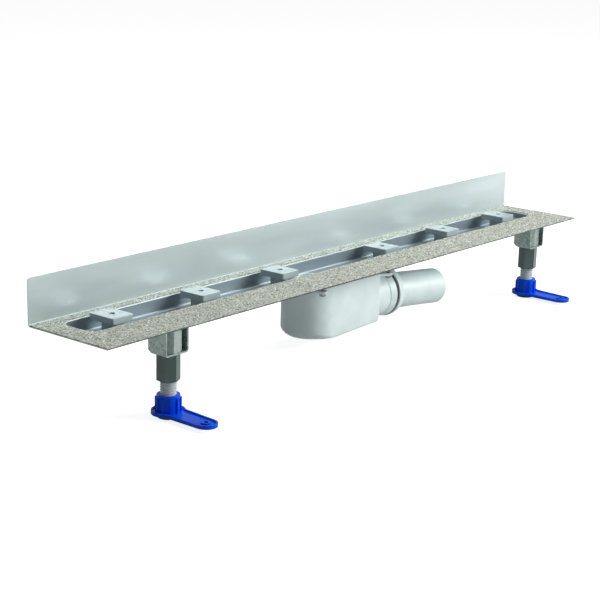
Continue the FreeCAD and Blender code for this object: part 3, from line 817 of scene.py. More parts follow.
# Lighter and less metallic than the zinc finish, for the left locknut only: painted light.
LIGHTENED_NUT_STEEL = ZincPlate("zinc-plated steel lightened as painted light", "zinc_steel", "#AEBCB7", 0.4, dark="#98A7A2", metallic=0.1)
SLEEVE_PLASTIC = MouldedPlastic("moulded grey glass-filled polyamide", "grey_sleeve_plastic", "#4C625D", 0.3,
                                dark="#415751", grain=0.8, depth=0.04)
ROD_NYLON = MouldedPlastic("natural nylon", "light_grey_nylon", "#C9D2D2", 0.4, dark="#BCC7C8", glow=0.15)
BLUE_PLASTIC = MouldedPlastic("moulded royal blue polypropylene", "blue_plastic", "#045CF0", 0.27,
                              dark="#034EDC", gloss=0.11)

# The sheet's thickness, and the levels, places and sizes where sub-assemblies meet, in millimetres.
SHEET = 1.5
FLANGE_TOP = -27.5
FLANGE_UNDER = FLANGE_TOP - SHEET
FLOOR_TOP = -45.5
TROUGH_MID = -44.5
LID_TOP = -48.0
LID_UNDER = -52.0
INLET_X = -44.0
INLET_RADIUS = 20.0
SOCKET_END = 92.4
OUTLET_LEVEL = -88.8


def arc(centre: Vector, radius: float, start: float, end: float, steps: int, across: Vector = X,
        up: Vector = Y) -> list[Vector]:
    """Points along an arc.

    Args:
        centre: its centre.
        radius: its radius.
        start: where it starts, in degrees from the first direction towards the second.
        end: where it ends.
        steps: how many pieces it has.
        across: the first direction.
        up: the second direction.
    Returns:
        The points, both ends among them.
    """
    angles = [math.radians(start + (end - start) * k / steps) for k in range(steps + 1)]
    return [centre + across * (radius * math.cos(a)) + up * (radius * math.sin(a)) for a in angles]


def inlet_axis(level: float) -> Vector:
    """A point on the inlet's upright axis."""
    return Vector((INLET_X, TROUGH_MID, level))


def outlet_axis(x: float) -> Vector:
    """A point on the level axis of the trap's socket."""
    return Vector((x, TROUGH_MID, OUTLET_LEVEL))


def upright(p: Vector, d: Vector) -> bool:
    """Whether a direction stands upright."""
    return abs(d.z) > ALONG


def flat(p: Vector, d: Vector) -> bool:
    """Whether a direction lies flat."""
    return abs(d.z) < ACROSS


def hexagon(name: str, low: Vector, flats: float, height: float, chamfer: float, first_corner: float = 90.0,
            blank_play: float = 0.05, blank_sides: int = 72) -> Workpiece:
    """Cuts a hexagon from a turned blank, so that its corners are chamfered as on a nut.

    Args:
        name: the workpiece's name.
        low: the middle of its underside.
        flats: its size across flats.
        height: along Z.
        chamfer: the blank's chamfer at both ends.
        first_corner: where a corner points, in degrees from +X.
        blank_play: how much wider than the hexagon's corners the blank is.
        blank_sides: how many sides stand for its round.
    Returns:
        The workpiece, in edit mode.
    """
    corner = flats / math.sqrt(3)
    piece = Workpiece.prism(name, low, corner, height, 6, first_corner - 90)
    blank = Workpiece.prism("blank", low, corner + blank_play, height, blank_sides)
    return piece.join(blank.pick(Pick.EDGES, flat).bevel(chamfer, segments=1), Blend.COMMON)


@dataclass
class ChannelSheet:
    """The folded and deep-drawn sheet with the sand bonded to its flange."""

    length: float = 973.0
    depth: float = 129.0
    upstand: float = 55.0
    fold: float = 2.0
    upstand_corner: float = 4.0
    trough_half: float = 454.0
    trough_width: float = 53.0
    trough_corner: float = 15.0
    floor_radius: float = 3.0
    ramp_run: float = 20.0
    ramp_rise: float = 8.0
    lip: float = 1.0
    edge_break: float = 0.25
    coat_thickness: float = 0.8
    coat_lip_margin: float = 2.5
    coat_edge_margin: float = 0.25
    grain: float = 1.7
    grit: float = 0.34
    fold_steps: int = 8
    flat_from: float = 0.99
    cut_edge_tilt: float = 0.95
    cut_edge_slack: float = 0.1
    lip_share: float = 0.6

    def strip(self) -> Workpiece:
        """Folds the flange and the upstand from one strip.

        Returns:
            The workpiece, in edit mode.
        """
        bend = self.fold + SHEET
        left, top = -self.length / 2, self.upstand / 2
        centre = Vector((left, -bend, FLANGE_TOP + self.fold))
        outline = [Vector((left, -self.depth, FLANGE_UNDER)),
                   *arc(centre, bend, -90, 0, self.fold_steps, Y, Z),
                   Vector((left, 0, top)), Vector((left, -SHEET, top)),
                   *arc(centre, self.fold, 0, -90, self.fold_steps, Y, Z),
                   Vector((left, -self.depth, FLANGE_TOP))]
        piece = Workpiece.plate("channel_sheet", outline, X * self.length)
        piece.pick(Pick.EDGES, lambda p, d: abs(d.y) > ALONG and p.z > top - self.edge_break)
        return piece.bevel(self.upstand_corner, segments=6)

    def hollow(self, name: str, offset: float, high: float) -> Workpiece:
        """Shapes the trough's space, with a floor that rises at both ends.

        Args:
            name: the workpiece's name.
            offset: how far the space is grown on every side.
            high: the level of its top.
        Returns:
            The workpiece, in edit mode.
        """
        half, reach, low = self.trough_half + offset, self.trough_width / 2 + offset, FLOOR_TOP - offset
        piece = Workpiece.block(name, Vector((-half, TROUGH_MID - reach, low)),
                                Vector((half, TROUGH_MID + reach, high)))
        piece.pick(Pick.EDGES, upright).bevel(self.trough_corner + offset, segments=8)
        steep = self.ramp_rise / self.ramp_run
        foot = self.trough_half - self.ramp_run + offset * (math.hypot(1, steep) - 1) / steep
        for side in (-1, 1):
            piece.trim(Vector((side * foot, 0, low)), Vector((side * steep, 0, -1)).normalized())
        piece.pick(Pick.EDGES, lambda p, d: abs(d.z) < ALONG and p.z < high - CLOSE
                   and not (abs(abs(p.x) - foot) < CLOSE and abs(d.y) > ALONG))
        return piece.bevel(self.floor_radius + offset, segments=4)

    def on_lip(self, p: Vector, d: Vector) -> bool:
        """Whether an edge lies where the trough starts, on the flange's top."""
        return (abs(p.z - FLANGE_TOP) < LEVEL and flat(p, d) and abs(p.x) < self.trough_half + SLACK
                and abs(p.y - TROUGH_MID) < self.trough_width / 2 + SLACK)

    def over_trough(self, p: Vector, d: Vector) -> bool:
        """Whether a face of the coat would lie in the opening that it leaves round the trough.

        Args:
            p: its middle in millimetres.
            d: its normal, which doesn't matter here.
        Returns:
            True where the coat is opened.
        """
        round_corner = self.trough_corner + self.coat_lip_margin
        beyond_x = abs(p.x) - (self.trough_half - self.trough_corner)
        beyond_y = abs(p.y - TROUGH_MID) - (self.trough_width / 2 - self.trough_corner)
        return math.hypot(max(beyond_x, 0), max(beyond_y, 0)) < round_corner

    def sheet(self) -> bpy.types.Object:
        """Welds the trough to the strip, hollows it and rolls its lip.

        Returns:
            The finished sheet; its cut edges, fold and trough have darker finishes of their own, which are
            painted shade.
        """
        piece = self.strip()
        piece.join(self.hollow("trough_outside", SHEET, FLANGE_TOP - SHEET / 2), Blend.WELD)
        piece.join(self.hollow("trough_inside", 0.0, FLANGE_TOP + SHEET), Blend.CUT)
        piece.bore(Vector((INLET_X, TROUGH_MID, FLOOR_TOP)), Z, INLET_RADIUS, 4 * SHEET)
        piece.pick(Pick.EDGES, self.on_lip).bevel(self.lip, segments=3).soften(self.edge_break)
        sheet = piece.done(BRUSHED_STAINLESS, "channel", "channel_body")
        # The cut edge, the fold and the trough get darker finishes: painted shade.
        for finish, test in ((SHADED_CUT_EDGE, self.is_shaded_cut_edge), (SHADED_DRAWN_STAINLESS, self.is_shaded_fold_or_trough)):
            sheet.data.materials.append(finish.material())
            for face in sheet.data.polygons:
                if test(face.center / MM, face.normal):
                    face.material_index = len(sheet.data.materials) - 1
        return sheet

    def is_shaded_fold_or_trough(self, p: Vector, n: Vector) -> bool:
        """Tells the metal of the fold and of the drawn trough, whose darker finish is painted shade.

        Args:
            p: a face's middle in millimetres.
            n: its normal.
        Returns:
            Whether it is part of the fold, or of the trough below its lip.
        """
        level = abs(n.z) > self.flat_from and p.z > FLANGE_UNDER - SHEET / 2
        beside = abs(p.y - TROUGH_MID) > self.trough_width / 2 + 2 * SHEET
        folded = p.y > -SHEET - self.fold and p.z < FLANGE_TOP + self.fold
        return folded or (p.z < FLANGE_TOP - self.lip_share * self.lip and not beside and not level)

    def is_shaded_cut_edge(self, p: Vector, n: Vector) -> bool:
        """Tells the flange's cut edge, at the front and at either end, which is painted dark as shade.

        Args:
            p: a face's middle in millimetres.
            n: its normal.
        Returns:
            Whether it is part of that edge.
        """
        below = p.y < -self.fold and p.z < FLANGE_TOP + self.cut_edge_slack
        at_front = p.y < SHEET / 2 - self.depth
        at_end = abs(p.x) > self.length / 2 - SHEET / 2 and below
        return (at_front or at_end) and abs(n.z) < self.cut_edge_tilt

    def coat(self) -> bpy.types.Object:
        """Lays the sand as a fine grid, opens it over the trough, thickens it and roughens its top.

        Returns:
            The finished coat.
        """
        half = self.length / 2 - self.coat_edge_margin
        front, back = self.coat_edge_margin - self.depth, -(SHEET + self.coat_edge_margin)
        deselect()
        bpy.ops.mesh.primitive_grid_add(x_subdivisions=round(2 * half / self.grain),
                                        y_subdivisions=round((back - front) / self.grain), size=MM,
                                        location=Vector((0, (front + back) / 2, FLANGE_TOP)) * MM)
        bpy.ops.transform.resize(value=(2 * half, back - front, 1))
        piece = Workpiece("sand_coat").settle()
        piece.pick(Pick.FACES, self.over_trough)
        bpy.ops.mesh.delete(type="FACE")
        piece.whole().extrude(Z * self.coat_thickness).outward()
        piece.pick(Pick.POINTS, lambda p, d: p.z > FLANGE_TOP + self.coat_thickness / 2)
        bpy.ops.transform.vertex_random(offset=self.grit * MM, uniform=1.0, normal=0.0, seed=3)
        return piece.done(QUARTZ_COAT, "channel", "flange_sand_coat", smooth=20.0)

    def build(self) -> None:
        """Makes the sheet and its coat."""
        self.sheet()
        self.coat()


@dataclass
class CoverSupports:
    """Six blocks that carry the cover, and the threaded studs that they are screwed onto."""

    places: tuple[float, ...] = (-401.0, -254.5, -108.0, 108.0, 254.5, 401.0)
    rises: tuple[float, ...] = (6.5, 6.0, 7.0, 3.2, 5.7, 5.5)
    length: float = 33.0
    width: float = 39.0
    thickness: float = 7.7
    corner: float = 3.0
    edge: float = 0.6
    leg_length: float = 16.0
    leg_width: float = 25.0
    leg_height: float = 13.2
    leg_setback: float = 3.0
    bore_radius: float = 3.3
    bore_mouth: float = 4.2
    stud: Thread = Thread(radius=3.0, depth=0.4, pitch=1.0, steps=24)
    stud_height: float = 13.0

    def block(self) -> bpy.types.Object:
        """Models the first block: rounded corners, a leg under it and a bore with a widened mouth.

        Returns:
            The finished block.
        """
        x, top = self.places[0], FLANGE_TOP + self.rises[0]
        under = top - self.thickness
        half = Vector((self.length / 2, self.width / 2, 0))
        middle = Vector((x, TROUGH_MID, 0))
        piece = Workpiece.block("cover_support_block_1", middle - half + Z * under, middle + half + Z * top)
        piece.pick(Pick.EDGES, upright).bevel(self.corner, segments=4)
        front = TROUGH_MID - self.width / 2 + self.leg_setback
        leg = Workpiece.block("leg", Vector((x - self.leg_length / 2, front, under - self.leg_height)),
                              Vector((x + self.leg_length / 2, front + self.leg_width, under + self.edge)))
        piece.join(leg, Blend.WELD)
        piece.bore(middle + Z * top, Z, self.bore_mouth, 2 * (self.bore_mouth - self.bore_radius), sides=32)
        piece.bore(middle + Z * (top - self.leg_height), Z, self.bore_radius, 4 * self.leg_height, sides=32)
        piece.soften(self.edge, segments=3, angle=50.0)
        return piece.done(SUPPORT_PLASTIC, "channel", "cover_support_1")

    def build(self) -> None:
        """Copies the block to each stud at its own height, and threads the studs."""
        first = self.block()
        for index in range(1, len(self.places)):
            move = Vector((self.places[index] - self.places[0], 0, self.rises[index] - self.rises[0]))
            copied(first, f"cover_support_block_{index + 1}", move, SUPPORT_PLASTIC, "channel",
                   f"cover_support_{index + 1}")
        studs = Workpiece.threaded("support_stud_row", Vector((self.places[0], TROUGH_MID, FLOOR_TOP)),
                                   self.stud_height, self.stud)
        studs.repeat([X * (there - here) for here, there in zip(self.places, self.places[1:])])
        studs.done(STUD_STEEL, "channel", "support_studs")


@dataclass
class Trap:
    """The moulded housing with its sloping bottom, its lid with four ears, and what hangs it up."""

    radius: float = 39.0
    end: float = 59.0
    wall: float = 2.5
    end_corner: float = 5.0
    height: float = 68.5
    fall: float = 5.3
    round_edge: float = 16.0
    straight_share: float = 0.19
    fade_start: float = -74.0
    fade_end: float = -44.0
    weir: float = 7.0
    weir_drop: float = 21.5
    outlet_hole: float = 24.0
    socket_radius: float = 31.4
    socket_bore: float = 28.7
    nose_radius: float = 30.2
    nose_length: float = 3.6
    seam: float = 0.5
    ear_radius: float = 6.0
    ear_gaps: tuple[float, float] = (10.0, 5.0)
    end_ear_gap: float = 11.0
    stud_rows: tuple[float, float] = (-86.0, -9.0)
    stud: Thread = Thread(radius=2.5, depth=0.35, pitch=0.8, steps=20)
    stud_end: float = 0.8
    stud_play: float = 0.3
    drill: float = 20.0
    nut_flats: float = 8.0
    nut_height: float = 3.0
    collar_wall: float = 3.0
    collar_drop: float = 8.0
    collar_drill: float = 30.0
    round_steps: int = 28
    corner_steps: int = 6
    ear_steps: int = 16
    slope_slack: float = 0.05

    def plan(self, inset: float, level: float) -> list[Vector]:
        """Draws the outline from above: round at one end, small corners at the other.

        Args:
            inset: how far inside the outer skin it lies.
            level: its height.
        Returns:
            The outline's points.
        """
        corner = Vector((self.end - self.end_corner, TROUGH_MID, level))
        reach = Y * (self.radius - self.end_corner)
        small = self.end_corner - inset
        return [*arc(inlet_axis(level), self.radius - inset, 90, 270, self.round_steps),
                *arc(corner - reach, small, 270, 360, self.corner_steps),
                *arc(corner + reach, small, 0, 90, self.corner_steps)]

    def body(self, name: str, inset: float) -> Workpiece:
        """Shapes the housing's outside, or its inside by an inset.

        Args:
            name: the workpiece's name.
            inset: how far inside the outer skin it lies.
        Returns:
            The workpiece; its bottom edge is broad at the round end and tight along the straight sides.
        """
        bottom = LID_UNDER - self.height + inset
        slope = self.fall / (self.end - INLET_X + self.radius)
        low = Vector((INLET_X - self.radius, TROUGH_MID, bottom))
        piece = Workpiece.plate(name, self.plan(inset, bottom), Z * (LID_UNDER - bottom + inset))
        piece.trim(low, Vector((slope, 0, -1)).normalized())

        def share(p: Vector, d: Vector) -> float:
            """Grades the rounding.

            Args:
                p: an edge's middle in millimetres.
                d: its direction.
            Returns:
                A bottom edge's share of the full rounding, and nothing for any other edge.
            """
            across = (abs(d.y) > ALONG and abs(p.y - TROUGH_MID) < CLOSE
                      and p.x < self.end - self.wall - CLOSE)
            if across or p.z > low.z + slope * (p.x - low.x) + self.slope_slack:
                return 0.0
            faded = min(max((p.x - self.fade_start) / (self.fade_end - self.fade_start), 0.0), 1.0)
            return 1 + (self.straight_share - 1) * faded

        return piece.graded_bevel(self.round_edge - inset, segments=6, share=share)

    def housing(self) -> bpy.types.Object:
        """Hollows the body, leaves the weir standing in it and welds the outlet's socket to its end.

        Returns:
            The finished housing.
        """
        piece = self.body("trap_body", 0.0)
        root, nose = self.end - self.wall / 2, SOCKET_END + self.nose_length
        profile = [(root, self.outlet_hole), (self.end, self.outlet_hole), (self.end, self.socket_bore),
                   (nose, self.socket_bore), (nose, self.nose_radius), (SOCKET_END, self.nose_radius),
                   (SOCKET_END, self.socket_radius), (root, self.socket_radius)]
        piece.join(Workpiece.turned("socket", outlet_axis(0), X, profile), Blend.WELD)
        space = self.body("space", self.wall)
        low = Vector((self.weir, TROUGH_MID - self.radius, LID_UNDER - self.height))
        high = Vector((self.weir + self.wall, TROUGH_MID + self.radius, LID_UNDER - self.weir_drop))
        weir = Workpiece.block("weir", low, high)
        space.join(weir, Blend.CUT)
        piece.join(space, Blend.CUT)
        piece.bore(outlet_axis(self.end), X, self.outlet_hole, 4 * self.wall, sides=96)
        piece.soften(self.seam, angle=60.0)
        return piece.done(WHITE_PP, "channel", "trap_housing")

    def stud_places(self) -> list[tuple[Vector, Vector]]:
        """Places the studs at the housing's four ears.

        Returns:
            Each stud's centre, with the point on the lid that its ear runs to.
        """
        places = []
        for y, gap in zip(self.stud_rows, self.ear_gaps):
            side = math.copysign(self.radius - self.ear_radius, y - TROUGH_MID)
            x = INLET_X - math.sqrt((self.radius + gap) ** 2 - (y - TROUGH_MID) ** 2)
            places.append((Vector((x, y, 0)), inlet_axis(0)))
            places.append((Vector((self.end + self.end_ear_gap, y, 0)),
                           Vector((self.end - self.ear_radius, TROUGH_MID + side, 0))))
        return places

    def lid(self) -> bpy.types.Object:
        """Welds the collar and the ears to the lid's plate and bores it.

        Returns:
            The finished lid.
        """
        thick = LID_TOP - LID_UNDER
        piece = Workpiece.plate("trap_lid_plate", self.plan(-self.seam, LID_UNDER), Z * thick)
        collar = Workpiece.prism("collar", inlet_axis(LID_UNDER - self.collar_drop),
                                 INLET_RADIUS + self.collar_wall, self.collar_drop + self.seam, sides=64)
        piece.join(collar, Blend.WELD)
        for stud, root in self.stud_places():
            aim = math.degrees(math.atan2(root.y - stud.y, root.x - stud.x))
            low = Z * (LID_UNDER + self.seam)
            outline = [*arc(stud + low, self.ear_radius, aim + 90, aim + 270, self.ear_steps),
                       *arc(root + low, self.ear_radius, aim - 90, aim + 90, self.ear_steps)]
            piece.join(Workpiece.plate("ear", outline, Z * (thick - 2 * self.seam)), Blend.WELD)
            piece.bore(stud + Z * LID_TOP, Z, self.stud.radius + self.stud_play, self.drill, sides=24)
        piece.bore(inlet_axis(LID_UNDER), Z, INLET_RADIUS, self.collar_drill, sides=64)
        piece.soften(self.seam)
        return piece.done(WHITE_PP, "channel", "trap_lid")

    def fixings(self) -> None:
        """Threads one stud, chamfers one nut, and repeats both at the four ears."""
        places = [stud for stud, _ in self.stud_places()]
        steps = [there - here for here, there in zip(places, places[1:])]
        low = LID_UNDER - self.nut_height - self.stud_end
        studs = Workpiece.threaded("trap_stud_set", places[0] + Z * low, FLANGE_UNDER - low, self.stud)
        studs.repeat(steps).done(STUD_STEEL, "channel", "trap_studs")
        nuts = hexagon("trap_nut_set", places[0] + Z * (LID_UNDER - self.nut_height), self.nut_flats,
                       self.nut_height, chamfer=self.seam, blank_play=-self.seam / 4, blank_sides=48)
        nuts.bore(places[0] + Z * LID_UNDER, Z, self.stud.radius, self.drill, sides=24)
        nuts.whole().repeat(steps).done(STUD_STEEL, "channel", "trap_nuts")

    def build(self) -> None:
        """Makes the housing, the lid and the fixings."""
        self.housing()
        self.lid()
        self.fixings()


@dataclass
class Inlet:
    """The threaded ring in the trough's floor and the dip tube that lifts out of it."""

    ring_wall: float = 2.3
    ring_flange: float = 3.0
    ring_thickness: float = 1.2
    edge: float = 0.3
    clearance: float = 0.3
    insert_wall: float = 1.5
    insert_flange: float = 2.0
    seal: float = 1.0
    dip_end: float = -103.5
    collar_end: float = -60.0
    handle_width: float = 5.0
    handle_thickness: float = 3.0
    neck_play: float = 0.06

    def ring(self) -> bpy.types.Object:
        """Turns the ring.

        Returns:
            The finished ring.
        """
        top = FLOOR_TOP + self.ring_thickness
        bore, outer = INLET_RADIUS - self.ring_wall, INLET_RADIUS + self.ring_flange
        neck = INLET_RADIUS - self.neck_play
        profile = [(self.collar_end, bore), (top, bore), (top, outer - self.edge), (top - self.edge, outer),
                   (FLOOR_TOP, outer), (FLOOR_TOP, neck), (self.collar_end, neck)]
        piece = Workpiece.turned("inlet_screw_ring", inlet_axis(0), Z, profile)
        return piece.done(WHITE_PP, "channel", "inlet_ring")

    def insert(self) -> bpy.types.Object:
        """Turns the dip tube and welds the bar across its mouth.

        Returns:
            The finished insert.
        """
        seat = FLOOR_TOP + self.ring_thickness + self.seal
        top = seat + self.insert_flange
        outer = INLET_RADIUS - self.ring_wall - self.clearance
        bore = outer - self.insert_wall
        profile = [(self.dip_end, bore), (top, bore), (top, INLET_RADIUS - self.edge),
                   (top - self.edge, INLET_RADIUS), (seat, INLET_RADIUS), (seat, outer),
                   (self.dip_end, outer)]
        piece = Workpiece.turned("odour_trap_tube", inlet_axis(0), Z, profile)
        reach = Vector((bore + self.insert_wall / 2, self.handle_width / 2, 0))
        bar = Workpiece.block("bar", inlet_axis(top - self.handle_thickness - self.edge) - reach,
                              inlet_axis(top - self.edge) + reach)
        piece.join(bar, Blend.WELD)
        piece.soften(self.edge, angle=50.0)
        return piece.done(WHITE_PP, "trap_insert", "odour_trap_insert")

    def build(self) -> None:
        """Makes the ring and the insert."""
        self.ring()
        self.insert()


@dataclass
class Outlet:
    """What is screwed onto the socket, and the spigot whose ball swivels in it."""

    nose_radius: float = 30.26
    shoulder: float = 6.1
    seat_radius: float = 28.6
    seat_end: float = 5.0
    back_radius: float = 31.6
    front_radius: float = 34.0
    ring_length: float = 12.0
    mouth: float = 30.5
    edge: float = 0.5
    wiper_length: float = 4.6
    wiper_radius: float = 33.4
    wiper_lip: float = 29.8
    hood_length: float = 14.0
    hood_back: float = 35.3
    hood_front: float = 32.0
    hood_mouth: float = 30.6
    hood_bulge: float = 1.1
    ball_from_start: float = 5.6
    ball_radius: float = 28.3
    pipe_radius: float = 25.0
    stop_radius: float = 25.6
    stop_end: float = 28.0
    pipe_wall: float = 2.0
    pipe_length: float = 124.0
    chamfer: float = 2.0
    yaw: float = -5.5
    drop: float = 4.8
    dome_steps: int = 10
    ball_steps: int = 16

    def on_sphere(self, radius: float, along: float) -> float:
        """A sphere's radius about the outlet's axis at a way along it from the ball's centre."""
        return math.sqrt(radius ** 2 - along ** 2)

    def ring(self) -> bpy.types.Object:
        """Turns the retaining ring with its ball seat.

        Returns:
            The finished ring.
        """
        seat_start = self.shoulder - self.ball_from_start
        seat = [(self.ball_from_start + along, self.on_sphere(self.seat_radius, along))
                for along in (seat_start, (seat_start + self.seat_end) / 2, self.seat_end)]
        profile = [(0, self.nose_radius), (self.shoulder, self.nose_radius), *seat,
                   (self.ring_length, self.mouth), (self.ring_length, self.front_radius - self.edge),
                   (self.ring_length - self.edge, self.front_radius),
                   (self.edge, self.back_radius + self.edge), (0, self.back_radius)]
        piece = Workpiece.turned("outlet_screw_ring", outlet_axis(SOCKET_END), X, profile)
        return piece.done(WHITE_PP, "channel", "outlet_retaining_ring")

    def wiper(self) -> bpy.types.Object:
        """Turns the rubber wiper with its thin lip.

        Returns:
            The finished wiper.
        """
        profile = [(0, self.mouth), (self.wiper_length, self.wiper_lip),
                   (self.wiper_length, self.wiper_radius - self.edge),
                   (self.wiper_length - self.edge, self.wiper_radius), (self.edge, self.wiper_radius),
                   (0, self.wiper_radius - self.edge)]
        piece = Workpiece.turned("outlet_wiper", outlet_axis(SOCKET_END + self.ring_length), X, profile)
        return piece.done(BLACK_RUBBER, "channel", "outlet_wiper_ring")

    def hood(self) -> bpy.types.Object:
        """Turns the domed collar in front of the wiper.

        Returns:
            The finished collar.
        """
        dome = []
        for k in range(self.dome_steps + 1):
            share = 1 - k / self.dome_steps
            radius = self.hood_back + (self.hood_front - self.hood_back) * share
            dome.append((self.hood_length * share, radius + self.hood_bulge * 4 * share * (1 - share)))
        profile = [(0, self.hood_mouth), (self.hood_length, self.hood_mouth), *dome]
        foot = outlet_axis(SOCKET_END + self.ring_length + self.wiper_length)
        piece = Workpiece.turned("outlet_domed_collar", foot, X, profile)
        piece.soften(self.edge, angle=50.0)
        return piece.done(WHITE_PP, "channel", "outlet_hood")

    def pipe(self) -> bpy.types.Object:
        """Turns the spigot and its hollow ball about the axis that the ball has swivelled to.

        Returns:
            The finished spigot.
        """
        yaw, drop = math.radians(self.yaw), math.radians(self.drop)
        axis = Vector((math.cos(drop) * math.cos(yaw), math.cos(drop) * math.sin(yaw), -math.sin(drop)))
        bore = self.pipe_radius - self.pipe_wall
        rear = bore + self.pipe_wall / 2
        back = -self.on_sphere(self.ball_radius, rear)
        neck = self.on_sphere(self.ball_radius, self.stop_radius)
        ways = [back + (neck - back) * k / self.ball_steps for k in range(self.ball_steps + 1)]
        ball = [(way, self.on_sphere(self.ball_radius, way)) for way in ways]
        profile = [*ball, (self.stop_end, self.stop_radius), (self.stop_end, self.pipe_radius),
                   (self.pipe_length - self.chamfer, self.pipe_radius),
                   (self.pipe_length, self.pipe_radius - self.chamfer / 2), (self.pipe_length, bore),
                   (back, bore)]
        middle = outlet_axis(SOCKET_END + self.ball_from_start)
        piece = Workpiece.turned("outlet_spigot", middle, axis, profile)
        return piece.done(WHITE_PP, "outlet", "outlet_pipe")

    def build(self) -> None:
        """Makes the four turned parts."""
        self.ring()
        self.wiper()
        self.hood()
        self.pipe()


@dataclass
class Leg:
    """A bracket under the flange, a locknut and a hexagonal sleeve, a threaded rod and a base on a pad."""

    x: float = 379.9
    y: float = -114.75
    bracket_length: float = 36.5
    bracket_depth: float = 28.0
    bracket_under: float = -57.3
    sheet: float = 2.0
    bend: float = 3.5
    bend_steps: int = 6
    cut_corner: float = 5.0
    hole: float = 1.8
    hole_drop: float = 5.0
    break_edge: float = 0.35
    nose_radius: float = 11.0
    nose_play: float = 0.06
    locknut_height: float = 25.8
    locknut_flats: float = 25.8
    locknut_corner: float = 9.0
    locknut_chamfer: float = 1.2
    sleeve_flats: float = 24.0
    sleeve_under: float = -89.3
    sleeve_turns: tuple[float, float] = (25.0, 15.0)
    sleeve_edge: float = 0.8
    rod: Thread = Thread(radius=9.6, depth=0.9, pitch=3.0, steps=48)
    rod_under: float = -118.5
    rod_top: float = -37.0
    hub_top: float = -106.0
    hub_radius: float = 13.6
    hub_rib: float = 1.9
    hub_sides: int = 30
    hub_sides_per_rib: int = 3
    hub_shoulder: float = 3.0
    hub_sunk: float = 1.0
    base_top: float = -124.6
    base_under: float = -129.0
    base_radius: float = 20.0
    pocket: float = 1.6
    rim: float = 2.2
    tongue_start: float = 41.07
    tip: float = 13.5
    tip_y: float = -61.5
    tongue_hole: float = 3.0
    boss: float = 5.8
    boss_rise: float = 0.3
    drill: float = 20.0
    soft_edge: float = 0.45
    turn: float = 2.2
    pad_radius: float = 13.0
    pad_under: float = -133.8
    pad_edge: float = 1.5

    def at(self, z: float) -> Vector:
        """A point on the left leg's axis."""
        return Vector((-self.x, self.y, z))

    def bracket(self) -> bpy.types.Object:
        """Bends the strip to a U, cuts its back corners off and bores it.

        Returns:
            The finished bracket.
        """
        front = Y * (self.bracket_depth / 2)
        top, middle = self.at(FLANGE_UNDER) - front, self.at(self.bracket_under + self.bend) - front
        half, inner = X * (self.bracket_length / 2), X * (self.bracket_length / 2 - self.sheet)
        left, right = (middle + X * (side * (self.bracket_length / 2 - self.bend)) for side in (-1, 1))
        tight = self.bend - self.sheet
        outline = [top - half, *arc(left, self.bend, 180, 270, self.bend_steps, X, Z),
                   *arc(right, self.bend, 270, 360, self.bend_steps, X, Z), top + half,
                   top + inner, *arc(right, tight, 360, 270, self.bend_steps, X, Z),
                   *arc(left, tight, 270, 180, self.bend_steps, X, Z), top - inner]
        piece = Workpiece.plate("left_leg_bracket", outline, Y * self.bracket_depth)
        piece.trim(self.at(self.bracket_under) + front - Y * self.cut_corner, (Y - Z).normalized())
        piece.bore(self.at(self.bracket_under), Z, self.nose_radius + self.nose_play, 3 * self.bend)
        piece.bore(self.at(FLANGE_UNDER - self.hole_drop), X, self.hole, self.bracket_length + self.sheet,
                   sides=24)
        piece.soften(self.break_edge, angle=50.0)
        return piece.done(ZINC_STEEL, "channel", "left_foot_bracket")

    def locknut(self) -> bpy.types.Object:
        """Cuts the nut that stands between the bracket's sides.

        Returns:
            The finished nut.
        """
        low = self.at(self.bracket_under + self.sheet)
        piece = hexagon("left_locknut", low, self.locknut_flats, self.locknut_height, self.locknut_chamfer,
                        self.locknut_corner)
        piece.bore(low, Z, self.nose_radius + self.nose_play, 3 * self.locknut_height)
        piece.soften(self.break_edge)
        # The left locknut gets the lighter zinc copy, which is painted light.
        return piece.done(LIGHTENED_NUT_STEEL, "channel", "left_leg_locknut")

    def sleeve(self, side: int, name: str, node: str) -> bpy.types.Object:
        """Cuts a sleeve with its round nose and its bore.

        Args:
            side: 0 for the left leg and 1 for the right.
            name: the piece's name.
            node: the CAD node it stands for.
        Returns:
            The finished sleeve.
        """
        low = self.at(self.sleeve_under) + X * (2 * side * self.x)
        height = self.bracket_under - self.sleeve_under
        piece = hexagon(name, low, self.sleeve_flats, height, self.sleeve_edge, self.sleeve_turns[side])
        nose_height = self.sheet + self.locknut_height + self.bend
        nose = Workpiece.prism("nose", low + Z * (height - self.bend), self.nose_radius, nose_height,
                               sides=48)
        piece.join(nose, Blend.WELD)
        piece.bore(low, Z, self.rod.radius + self.nose_play, 4 * height, sides=64)
        piece.soften(self.break_edge)
        return piece.done(SLEEVE_PLASTIC, "channel", node)

    def threaded_rod(self) -> bpy.types.Object:
        """Threads the rod.

        Returns:
            The finished rod.
        """
        length = self.rod_top - self.rod_under
        piece = Workpiece.threaded("left_threaded_rod", self.at(self.rod_under), length, self.rod)
        return piece.done(ROD_NYLON, "left_leg", "left_leg_rod", smooth=25.0)

    def is_rib(self, p: Vector, n: Vector) -> bool:
        """Tells the faces of the hub that stand out as ribs, counted from its corner at +Y.

        Args:
            p: a face's middle in millimetres.
            n: its normal.
        Returns:
            Whether it is a rib's.
        """
        slot = round((math.degrees(math.atan2(n.y, n.x)) - 90) / (360 / self.hub_sides) - 0.5)
        below = p.z < self.hub_top - self.hub_shoulder
        return flat(p, n) and below and slot % self.hub_sides_per_rib == 0

